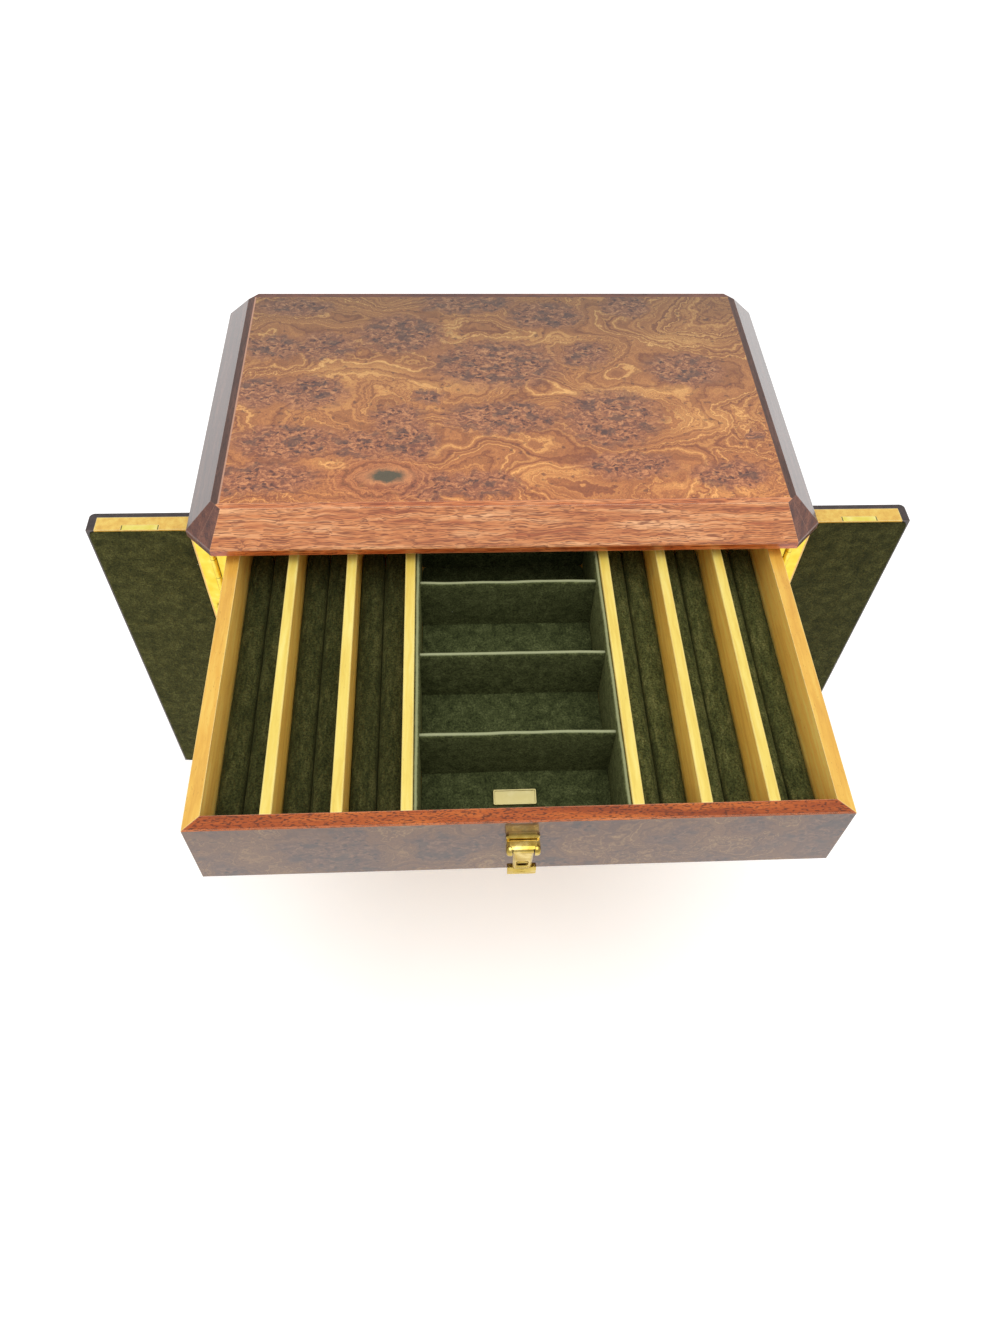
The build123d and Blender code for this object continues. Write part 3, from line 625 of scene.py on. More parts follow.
# a paler copy of the tray's suede for the liners: painted light on their faces
SUEDE_LINER_LIT = Suede("suede_tray_sides", ("424628", "5D623C", "767A50"), 5.0, rubbed_lit_nap="A2A67C")
# the right door painted darker: painted shade
SUEDE_DOOR = Suede("suede_doors", ("2A2C14", "3D3D1E", "52512C"), 7.0, lint=0.4, right_half_painted_light=0.78)
SUEDE_DRAWER = Suede("suede_lower_drawers", ("282B15", "383C20", "4A4E2C"), 8.0)
BAIZE = Suede("baize_base", ("26331F", "2F3F27", "3A4B30"), 30.0, lint=0.2)
# the pulls' faces that look aside painted darker: a painted reflection
CAST_BRASS = PolishedBrass("cast_brass_pulls", ("B29440", "C9AE5E", "E6D28C"), (0.12, 0.2), 0.55)
ROLLED_BRASS = PolishedBrass("rolled_brass_hinge", ("EACB42", "F2DA56", "F8E678"), (0.3, 0.4))
SATIN_BRASS = PolishedBrass("satin_brass_plate", ("C2B47A", "CCBF86", "D8CC98"), (0.42, 0.52))
# the strike plates get painted shadow lines at their let-in ends
STRIKE_BRASS = PolishedBrass("brass_strike", ("F6E46A", "FCEE86", "FFF6A8"), (0.5, 0.6),
                             gap_shadow_mm=(208.0, 10.5))
NICKEL = NickelPlate("nickel_plate")

_made: dict[str, Material] = {}


def material_of(finish: Finish) -> Material:
    """Give the one material of a finish, made when it is first asked for."""
    if finish.name not in _made:
        _made[finish.name] = finish.material()
    return _made[finish.name]


def dress(finish: Finish, *nodes: str) -> None:
    """Put a finish on CAD nodes, which keep their own shape.

    Args:
        finish: the finish.
        nodes: the nodes' names.
    """
    for name in nodes:
        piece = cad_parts[name]
        if not piece.material_slots:
            piece.data.materials.append(None)
        for slot in piece.material_slots:
            slot.material = material_of(finish)
        LOG.info("%s wears %s", name, finish.name)


# ---------------------------------------------------------------------------- mesh makers
def add_object(mesh: Mesh, name: str, finish: Finish, smooth: bool) -> bpy.types.Object:
    """Make a dressed object of a mesh, which is freed here.

    Args:
        mesh: the shape, in the chest's frame, in metres.
        name: the object's name.
        finish: what it is made of.
        smooth: whether its faces are shaded as one.
    Returns:
        The new object.
    """
    data = bpy.data.meshes.new(name)
    mesh.to_mesh(data)
    mesh.free()
    for polygon in data.polygons:
        polygon.use_smooth = smooth
    piece = bpy.data.objects.new(name, data)
    bpy.context.scene.collection.objects.link(piece)
    data.materials.append(material_of(finish))
    return piece


def add_piece(mesh: Mesh, name: str, body: str, finish: Finish,
              stands_for: tuple = (), smooth: bool = True) -> bpy.types.Object:
    """Make an object of a mesh, dress it and let it ride on its body.

    Args:
        mesh: the shape, in the chest's frame, in metres. It is freed here.
        name: the piece's name.
        body: the CAD body that it moves with.
        finish: what it is made of.
        stands_for: the CAD nodes that it replaces.
        smooth: whether its faces are shaded as one.
    Returns:
        The new object.
    """
    bmesh.ops.recalc_face_normals(mesh, faces=mesh.faces)
    piece = add_object(mesh, name, finish, smooth)
    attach(piece, body)
    if stands_for:
        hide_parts(*stands_for)
    LOG.info("%s made with %d faces", name, len(piece.data.polygons))
    return piece


def skin(mesh: Mesh, rings: list[list[Point]], cap: bool = True, loop: bool = True) -> None:
    """Join rows of points, one after the other, with faces.

    Args:
        mesh: the mesh to add to.
        rings: rows with the same number of points.
        cap: whether the first and last rows are filled.
        loop: whether each row closes on itself.
    """
    rows = [[mesh.verts.new(point) for point in ring] for ring in rings]
    count = len(rows[0])
    for low, high in zip(rows, rows[1:]):
        for i in range(count if loop else count - 1):
            j = (i + 1) % count
            mesh.faces.new((low[i], low[j], high[j], high[i]))
    if cap:
        mesh.faces.new(rows[0][::-1])
        mesh.faces.new(rows[-1])


def circle(points: int) -> list[Pair]:
    """Give evenly spaced points of a circle of radius 1."""
    return [(math.cos(k * math.tau / points), math.sin(k * math.tau / points))
            for k in range(points)]


def rounded_outline(width: float, height: float, corner: float,
                    steps: int = 4) -> list[Pair]:
    """Points round a rectangle with rounded corners, about its middle.

    Args:
        width: its whole width.
        height: its whole height.
        corner: the corners' radius.
        steps: points to a quarter turn.
    Returns:
        Pairs of numbers, anticlockwise.
    """
    points = []
    for turn, (sx, sy) in enumerate(((1, 1), (-1, 1), (-1, -1), (1, -1))):
        for k in range(steps + 1):
            angle = (turn + k / steps) * math.pi / 2
            points.append((sx * (width / 2 - corner) + corner * math.cos(angle),
                           sy * (height / 2 - corner) + corner * math.sin(angle)))
    return points


def spread(low: float, high: float, cell: float) -> list[float]:
    """Evenly spaced places from low to high, about a cell apart."""
    count = max(2, round((high - low) / cell))
    return [low + (high - low) * k / count for k in range(count + 1)]


@dataclass
class Pad:
    """A soft panel: a closed form with a rounded, crowned face, flat where it rests.

    Its box is given by two corners, in metres. The face looks along `out`.
    """

    low: Vector
    high: Vector
    out: Point = UP
    cell: float = 4 * MM
    edge: float = 2 * MM
    crown: float = 0.5 * MM
    wander: float = 0.15 * MM
    wall_rows: int = 1

    def mesh(self, into: Mesh | None = None) -> Mesh:
        """Build the pad.

        Args:
            into: a mesh to add to, or a new one.
        Returns:
            The mesh.
        """
        mesh = into or bmesh.new()
        deep = max(range(3), key=lambda k: abs(self.out[k]))
        across, along = [k for k in range(3) if k != deep]
        sign = self.out[deep]
        back = self.low[deep] if sign > 0 else self.high[deep]
        height = self.high[deep] - self.low[deep]
        us, vs = (spread(self.low[way] + self.edge, self.high[way] - self.edge, self.cell)
                  for way in (across, along))

        def put(u: float, v: float, w: float) -> bmesh.types.BMVert:
            """Add a point at a height over the resting face, strayed by a slow noise."""
            point = [0.0, 0.0, 0.0]
            point[across], point[along], point[deep] = u, v, back + sign * w
            ripple = noise.noise(Vector(point) * 90) * self.wander * min(1.0, w / height)
            point[deep] += sign * ripple
            return mesh.verts.new(point)

        def dome(u: float, v: float) -> float:
            """Give the crowned face's height."""
            s = 2 * (u - us[0]) / (us[-1] - us[0]) - 1
            t = 2 * (v - vs[0]) / (vs[-1] - vs[0]) - 1
            return height - self.crown * (1 - (1 - s ** 4) * (1 - t ** 4)) - self.wander

        grid = [[put(u, v, dome(u, v)) for v in vs] for u in us]
        last_u, last_v = len(us) - 1, len(vs) - 1
        for i in range(last_u):
            for j in range(last_v):
                mesh.faces.new((grid[i][j], grid[i + 1][j], grid[i + 1][j + 1], grid[i][j + 1]))
        border = ([(i, 0) for i in range(last_u)] + [(last_u, j) for j in range(last_v)]
                  + [(i, last_v) for i in range(last_u, 0, -1)]
                  + [(0, j) for j in range(last_v, 0, -1)])
        row = [grid[i][j] for i, j in border]
        steps = [(math.sin(a), 1 - math.cos(a)) for a in (math.pi / 6, math.pi / 3, math.pi / 2)]
        top = height - self.crown - self.wander
        levels = [(self.edge * s, top - self.edge * c) for s, c in steps]
        foot = levels[-1][1]
        levels += [(self.edge, foot * (1 - k / self.wall_rows))
                   for k in range(1, self.wall_rows + 1)]
        for reach, level in levels:
            ring = []
            for i, j in border:
                du, dv = (i == last_u) - (i == 0), (j == last_v) - (j == 0)
                shrink = 0.75 if du and dv else 1.0
                ring.append(put(us[i] + du * reach * shrink, vs[j] + dv * reach * shrink, level))
            for k in range(len(ring)):
                m = (k + 1) % len(ring)
                mesh.faces.new((row[k], ring[k], ring[m], row[m]))
            row = ring
        self.close_back(mesh, dict(zip(border, row)), last_u, last_v)
        return mesh

    @staticmethod
    def close_back(mesh: Mesh, rim: dict, last_u: int, last_v: int) -> None:
        """Close the resting face with strips across its narrow way.

        Args:
            mesh: the mesh.
            rim: the rim's vertices by their place in the grid.
            last_u: the last place across.
            last_v: the last place along.
        """
        if last_u < last_v:
            rim = {(j, i): vertex for (i, j), vertex in rim.items()}
            last_u, last_v = last_v, last_u
        near, far = ([rim[i, j] for i in range(last_u + 1)] for j in (0, last_v))
        ends = [[rim[i, j] for j in range(1, last_v)] for i in (0, last_u)]
        for k in range(1, len(near) - 2):
            mesh.faces.new((near[k], near[k + 1], far[k + 1], far[k]))
        mesh.faces.new((near[0], near[1], far[1], far[0], *reversed(ends[0])))
        mesh.faces.new((near[-1], *ends[1], far[-1], far[-2], near[-2]))


def inflate(piece: bpy.types.Object, keep_below: float, low_high: list, cap: float,
            pressure: float = 4.0, steps: int = 20) -> None:
    """Swell a padded piece by cloth simulation and keep the result in its mesh.

    Args:
        piece: the piece, riding already.
        keep_below: vertices under this height are held still.
        low_high: for each vertex, the corners of the box that it stays in.
        cap: how far a vertex may move.
        pressure: the air pressure inside.
        steps: the simulation's steps.
    """
    group = piece.vertex_groups.new(name="held")
    group.add([v.index for v in piece.data.vertices if v.co.z < keep_below], 1.0, "REPLACE")
    cloth = piece.modifiers.new("swell", "CLOTH")
    rules = cloth.settings
    rules.quality = 5
    rules.mass = 0.2
    rules.bending_stiffness = 0.3
    rules.use_pressure = True
    rules.uniform_pressure_force = pressure
    rules.effector_weights.gravity = 0.0
    rules.vertex_group_mass = group.name
    cloth.point_cache.frame_end = steps
    scene = bpy.context.scene
    for step in range(1, steps + 1):
        scene.frame_set(step)
    swollen = piece.evaluated_get(bpy.context.evaluated_depsgraph_get()).data
    places = [v.co.copy() for v in swollen.vertices]
    piece.modifiers.remove(cloth)
    scene.frame_set(1)
    for vertex, place, (low, high) in zip(piece.data.vertices, places, low_high):
        move = place - vertex.co
        if not all(math.isfinite(c) for c in move):
            continue
        if move.length > cap:
            move *= cap / move.length
        goal = vertex.co + move
        vertex.co = [min(max(goal[k], low[k]), high[k]) for k in range(3)]
    LOG.info("%s swelled by simulation", piece.name)


def smooth_once(piece: bpy.types.Object) -> None:
    """Add one level of subdivision to a soft piece."""
    more = piece.modifiers.new("soft", "SUBSURF")
    more.levels = more.render_levels = 1


def folded_sheet(profile: list[Pair], start: float, end: float, cell: float, along: int,
                 wander: float) -> Mesh:
    """A sheet folded over an edge: a profile carried along one axis.

    Args:
        profile: pairs across the fold, the other level axis first and then height.
        start: where it starts along the axis.
        end: where it ends.
        cell: the spacing along the axis.
        along: 0 for X, 1 for Y.
        wander: how far the sheet strays.
    Returns:
        The open mesh.
    """
    rows = []
    for t in spread(start, end, cell):
        rows.append([])
        for side, up in profile:
            point = [0.0, 0.0, up]
            point[along], point[1 - along] = t, side
            point[1 - along] += noise.noise(Vector(point) * 60) * wander
            rows[-1].append(tuple(point))
    mesh = bmesh.new()
    skin(mesh, rows, cap=False, loop=False)
    return mesh


def fold_profile(mid: float, half: float, low: float, top: float,
                 cell: float) -> list[Pair]:
    """Up one face of a card, round its top edge and down the other.

    Args:
        mid: the card's middle.
        half: half its thickness with the suede.
        low: where it stands.
        top: its top edge.
        cell: the spacing up the faces.
    Returns:
        Pairs of place across and height.
    """
    ups = spread(low, top - half, cell)
    bend = [(mid - half * math.cos(a), top - half + half * math.sin(a))
            for a in (k * math.pi / 6 for k in range(1, 6))]
    return [(mid - half, z) for z in ups] + bend + [(mid + half, z) for z in reversed(ups)]


# ---------------------------------------------------------------------------- sub-assemblies
@dataclass
class Studio:
    """The camera of the photograph, a pale floor and soft light."""

    image: tuple = (1000, 1333)
    focal_px: float = 997.14
    axis_px: tuple = (500.0, 587.0)
    location_mm: Point = (-33.5, -480.5, 712.1)
    pitch_deg: float = 51.08
    yaw_deg: float = 4.66
    roll_deg: float = 2.75
    sensor_mm: float = 36.0
    floor_z: float = -0.2 * MM
    room: float = 0.72
    overhead: float = 1.25
    overhead_spread_deg: float = 50.0
    overhead_aim: Point = (-0.04, 0.21, -1.0)

    def build(self) -> None:
        """Make the camera, the floor and the lights."""
        self.make_camera()
        self.make_floor()
        self.make_lights()

    def make_camera(self) -> None:
        """Place the camera that was fitted to the photograph."""
        p, a, r = (math.radians(v) for v in (self.pitch_deg, self.yaw_deg, self.roll_deg))
        ahead = Vector((math.sin(a) * math.cos(p), math.cos(a) * math.cos(p), -math.sin(p)))
        level = Vector((math.cos(a), -math.sin(a), 0.0))
        upright = level.cross(ahead)
        right = level * math.cos(r) + upright * math.sin(r)
        up = -level * math.sin(r) + upright * math.cos(r)
        data = bpy.data.cameras.new("camera")
        data.sensor_width = self.sensor_mm
        data.lens = self.focal_px * self.sensor_mm / max(self.image)
        data.shift_x = (self.image[0] / 2 - self.axis_px[0]) / max(self.image)
        data.shift_y = (self.axis_px[1] - self.image[1] / 2) / max(self.image)
        data.clip_start, data.clip_end = 0.02, 20.0
        camera = bpy.data.objects.new("camera", data)
        turn = Matrix((right, up, -ahead)).transposed()
        camera.matrix_world = Matrix.Translation(Vector(self.location_mm) * MM) @ turn.to_4x4()
        bpy.context.scene.collection.objects.link(camera)
        bpy.context.scene.camera = camera

    def make_floor(self) -> None:
        """Lay a plain pale floor under the felt."""
        mesh = bmesh.new()
        skin(mesh, [[(-4, y, self.floor_z), (4, y, self.floor_z)] for y in (-4, 6)], cap=False,
             loop=False)
        add_object(mesh, "floor", PaleFloor("pale_floor"), smooth=False)

    def make_lights(self) -> None:
        """Light a white room from one very broad source overhead, a little to the front."""
        world = bpy.data.worlds.new("white_room")
        world.use_nodes = True
        backdrop = world.node_tree.nodes["Background"].inputs
        backdrop["Color"].default_value = linear("FFFFFF")
        backdrop["Strength"].default_value = self.room
        bpy.context.scene.world = world
        data = bpy.data.lights.new("overhead", "SUN")
        data.energy, data.angle = self.overhead, math.radians(self.overhead_spread_deg)
        light = bpy.data.objects.new("overhead", data)
        light.rotation_euler = Vector(self.overhead_aim).to_track_quat("-Z", "Y").to_euler()
        bpy.context.scene.collection.objects.link(light)
        bpy.context.scene.view_settings.view_transform = "Standard"


class Lid:
    """The bevelled lid: a burl panel in mahogany mouldings, with magnets for the doors."""

    def build(self) -> None:
        """Dress the lid's pieces."""
        dress(BURL_LID, "lid_panel")
        dress(CANTED_X, "lid_front_moulding")
        dress(BACK_X, "lid_back_moulding")
        dress(SIDES_Y, "lid_side_moulding")
        dress(NICKEL, "door_magnets")


@dataclass
class Plinth:
    """The plinth: mahogany mouldings round a base panel, with baize under it."""

    cant_mm: float = 14.6

    def build(self) -> None:
        """Dress the plinth and lay the baize."""
        dress(CANTED_X, "plinth_front_moulding")
        dress(BACK_X, "plinth_back_moulding")
        dress(SIDES_Y, "plinth_side_moulding")
        dress(MAPLE_X, "base_panel")
        low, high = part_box("base_felt")
        x, y, cant = high.x, high.y, self.cant_mm * MM
        outline = [(x, cant - y), (x, y - cant), (x - cant, y), (cant - x, y),
                   (-x, y - cant), (-x, cant - y), (cant - x, -y), (x - cant, -y)]
        mesh = bmesh.new()
        skin(mesh, [[(px, py, level) for px, py in outline] for level in (low.z, high.z)])
        baize = add_piece(mesh, "base_baize", "cabinet", BAIZE, ("base_felt",),
                          smooth=False)


class Carcass:
    """The cabinet between lid and plinth: burl outside, maple inside, with the drawers' runners."""

    def build(self) -> None:
        """Dress the carcass."""
        for side in Side:
            dress(BURL_SIDES[side], f"carcass_{side.name.lower()}_side")
        dress(BURL_BACK, "carcass_back")
        dress(MAPLE_X, "carcass_top_board", "carcass_bottom_board")
        dress(MAPLE_Y, "drawer_runners")


@dataclass
class ContinuousHinges:
    """Brass continuous hinges: leaves, pins and the slotted screws that hold the leaves."""

    pin_mm: float = 170.8           # from the chest's middle
    knuckle_mm: float = 2.0
    leaf_face_mm: float = 1.2       # from the knuckles' front
    screws: int = 4
    first_mm: float = 62.0          # from the end of the leaf
    head_mm: float = 1.3
    head_rise_mm: float = 0.25
    slit_mm: float = 0.4

    def build(self) -> None:
        """Dress the hinges and drive their screws."""
        dress(ROLLED_BRASS, "hinge_cabinet_leaves", "hinge_pins")
        for side in Side:
            name = side.name.lower()
            dress(ROLLED_BRASS, f"door_{name}_hinge_leaf")
            low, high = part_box(f"door_{name}_hinge_leaf")
            pin, first = side.value * self.pin_mm * MM, self.first_mm * MM
            reach = max(abs(low.x), abs(high.x)) - abs(pin)
            for part, body, way in (("carcass", "cabinet", -1), ("door", f"door_{name}", 1)):
                x = pin + side.value * way * (reach + self.knuckle_mm * MM) / 2
                mesh = bmesh.new()
                for z in spread(low.z + first, high.z - first, (high.z - low.z) / self.screws):
                    self.drive(mesh, Vector((x, low.y + self.leaf_face_mm * MM, z)))
                add_piece(mesh, f"hinge_screws_{part}_{name}", body, ROLLED_BRASS)

    def drive(self, mesh: Mesh, seat: Vector) -> None:
        """Add one slotted screw head that faces the front.

        Args:
            mesh: the mesh to add to.
            seat: the middle of its seat, on the leaf's face.
        """
        radius, rise, slit = (v * MM for v in (self.head_mm, self.head_rise_mm, self.slit_mm / 2))
        skin(mesh, [[(seat.x + c * radius, seat.y - out, seat.z + s * radius)
                     for c, s in circle(20)] for out in (0, rise / 2)])
        limit = math.asin(slit / (radius * 0.94))
        for half in (0.0, math.pi):
            arc = [half + limit + (math.pi - 2 * limit) * k / 10 for k in range(11)]
            skin(mesh, [[(seat.x + radius * size * math.cos(a), seat.y - out,
                          seat.z + radius * size * math.sin(a)) for a in arc]
                        for size, out in ((0.94, rise / 2), (0.94, rise * 0.8), (0.80, rise))])


class Doors:
    """The two narrow doors: veneered shell, maple core, suede facing and a brass strike plate."""

    def build(self) -> None:
        """Dress the doors and cover their inner faces with suede."""
        for side in Side:
            body = f"door_{side.name.lower()}"
            dress(CORES_Z, f"{body}_core")
            dress(BURL_DOOR, f"{body}_shell")
            dress(STRIKE_BRASS, f"{body}_strike_plate")
            low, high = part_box(f"{body}_suede")
            pad = Pad(low, high, out=(0, -1, 0), edge=0.9 * MM, crown=0.15 * MM, wander=0.2 * MM)
            facing = add_piece(pad.mesh(), f"{body}_suede_facing", body, SUEDE_DOOR,
                               (f"{body}_suede",))
            smooth_once(facing)


@dataclass
class TopDrawer:
    """The open drawer: slots with paired padded rolls, and a suede tray with cross dividers."""

    tray_half_mm: float = 52.2
    strip_mm: float = 5.6
    roll_edge_mm: float = 3.3
    roll_gap_mm: float = 0.3
    facing_mm: float = 0.8
    card_mm: float = 3.0                # a cross divider with its suede
    plate_mm: tuple = (22.5, 8.3, 0.9)
    plate_at_mm: tuple = (-1.0, -241.0)
    plate_border_mm: float = 0.9
    plate_lean: float = 0.12            # its back edge is raised by the nap under it

    def build(self) -> None:
        """Dress the drawer and fill it."""
        dress(BURL_FRONT, "drawer_1_front")
        dress(WALLS_Y, "drawer_1_sides")
        dress(STRIPS_Y, "drawer_1_divider_strips")
        dress(MAPLE_X, "drawer_1_back", "drawer_1_bottom")
        self.fill_slots()
        self.line_tray()
        self.face_ends()
        self.stand_dividers()
        self.lay_plate()

    def fill_slots(self) -> None:
        """Lay two padded rolls side by side in every slot, and let the padding swell."""
        low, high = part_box("drawer_1_ring_rolls")
        mesh = bmesh.new()
        limits = []
        strips, gap = self.strip_mm * MM, self.roll_gap_mm * MM
        inner = self.tray_half_mm * MM + strips
        slot = (high.x + gap - inner - 2 * strips) / 3
        width = (slot - 3 * gap) / 2
        inset, swell = Vector((0.25 * MM, 0.4 * MM, 0.0)), Vector((0, 0, 0.8 * MM))
        for side in Side:
            for k in range(3):
                mid = inner + slot / 2 + k * (slot + strips)
                for lean in Side:
                    x = side.value * mid + lean.value * (width + gap) / 2
                    box = (Vector((x - width / 2, low.y, low.z)),
                           Vector((x + width / 2, high.y, high.z)))
                    before = len(mesh.verts)
                    Pad(box[0] + inset, box[1] - inset - swell, cell=3.2 * MM,
                        edge=self.roll_edge_mm * MM, crown=0.4 * MM, wander=0.25 * MM,
                        wall_rows=4).mesh(mesh)
                    limits += [box] * (len(mesh.verts) - before)
        rolls = add_piece(mesh, "slot_rolls", "drawer_1", SUEDE_ROLLS,
                          ("drawer_1_ring_rolls",))
        inflate(rolls, low.z + 4 * MM, limits, 1.6 * MM)
        smooth_once(rolls)

    def line_tray(self) -> None:
        """Fold suede over the tray's two side cards and lay it on the floor."""
        low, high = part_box("drawer_1_tray_liners")
        floor_low, floor_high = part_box("drawer_1_tray_floor")
        half = (high.x - floor_high.x) / 2
        for side in Side:
            profile = fold_profile(side.value * (high.x - half), half - 0.05 * MM, low.z, high.z,
                                   5 * MM)
            mesh = folded_sheet(profile, low.y, high.y, 5 * MM, 1, 0.25 * MM)
            stands = ("drawer_1_tray_liners",) if side is Side.LEFT else ()
            liner = add_piece(mesh, f"tray_liner_{side.name.lower()}", "drawer_1", SUEDE_LINER_LIT,
                              stands)
            smooth_once(liner)
        pad = Pad(floor_low, floor_high, edge=0.6 * MM, crown=0.1 * MM, wander=0.3 * MM)
        floor = add_piece(pad.mesh(), "tray_floor_suede", "drawer_1", SUEDE_TRAY,
                          ("drawer_1_tray_floor",))
        smooth_once(floor)

    def face_ends(self) -> None:
        """Stretch thin suede over the drawer's walls at the two ends of the tray."""
        low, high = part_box("drawer_1_tray_liners")
        floor_low, floor_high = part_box("drawer_1_tray_floor")
        thick, inset, tuck = self.facing_mm * MM, -0.2 * MM, 0.8 * MM
        for name, start, out, rests_on in (
                ("back", high.y - thick, (0, -1, 0), "drawer_1_back"),
                ("front", low.y, BACKWARD, "drawer_1_front")):
            pad = Pad(Vector((floor_low.x + inset, start, floor_high.z - tuck)),
                      Vector((floor_high.x - inset, start + thick, high.z)), out=out,
                      cell=5 * MM, edge=0.3 * MM, crown=0.05 * MM, wander=0.1 * MM)
            facing = add_piece(pad.mesh(), f"tray_end_{name}", "drawer_1", SUEDE_TRAY)
            smooth_once(facing)

    def stand_dividers(self) -> None:
        """Stand the cross dividers: cards with suede folded over their top edge."""
        low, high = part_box("drawer_1_tray_dividers")
        half = self.card_mm / 2 * MM
        mids = [low.y + half, (low.y + high.y) / 2, high.y - half]
        for number, mid in enumerate(mids, start=1):
            profile = fold_profile(mid, half, low.z - 0.3 * MM, high.z, 4 * MM)
            mesh = folded_sheet(profile, low.x, high.x, 4 * MM, 0, 0.5 * MM)
            stands = ("drawer_1_tray_dividers",) if number == 1 else ()
            card = add_piece(mesh, f"tray_divider_{number}", "drawer_1", SUEDE_EDGE,
                             stands)
            smooth_once(card)

    def lay_plate(self) -> None:
        """Fix the small bare brass plate with its raised border to the tray's floor."""
        width, depth, thick = (v * MM for v in self.plate_mm)
        x, y = (v * MM for v in self.plate_at_mm)
        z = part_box("drawer_1_tray_floor")[1].z
        border, ease = self.plate_border_mm * MM, 0.15 * MM
        rings = []
        for shrink, level in ((0, -0.3 * MM), (0, thick - ease), (ease, thick),
                              (border - ease, thick), (border, thick - 0.35 * MM)):
            outline = rounded_outline(width - 2 * shrink, depth - 2 * shrink,
                                      max(0.9 * MM - shrink, 0.15 * MM))
            rings.append([(x + px, y + py, z + level + self.plate_lean * (py + depth / 2))
                          for px, py in outline])
        mesh = bmesh.new()
        skin(mesh, rings)
        add_piece(mesh, "bare_plate", "drawer_1", SATIN_BRASS, smooth=False)


@dataclass
class LowerDrawers:
    """The three closed drawers: veneered fronts, maple walls and a padded suede lining."""

    numbers: tuple = (2, 3, 4)

    def build(self) -> None:
        """Dress the drawers and lay their linings."""
        for body in (f"drawer_{number}" for number in self.numbers):
            dress(BURL_FRONT, f"{body}_front")
            dress(MAPLE_Y, f"{body}_sides")
            dress(MAPLE_X, f"{body}_back", f"{body}_bottom")
            low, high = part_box(f"{body}_lining")
            pad = Pad(low, high - Vector((0, 0, 0.5 * MM)), cell=7 * MM, edge=1.6 * MM,
                      crown=0.3 * MM, wander=0.2 * MM)
            lining = add_piece(pad.mesh(), f"{body}_suede_lining", body, SUEDE_DRAWER,
                               (f"{body}_lining",))
            inflate(lining, low.z + 1 * MM, [(low, high)] * len(lining.data.vertices), 0.5 * MM)
            smooth_once(lining)


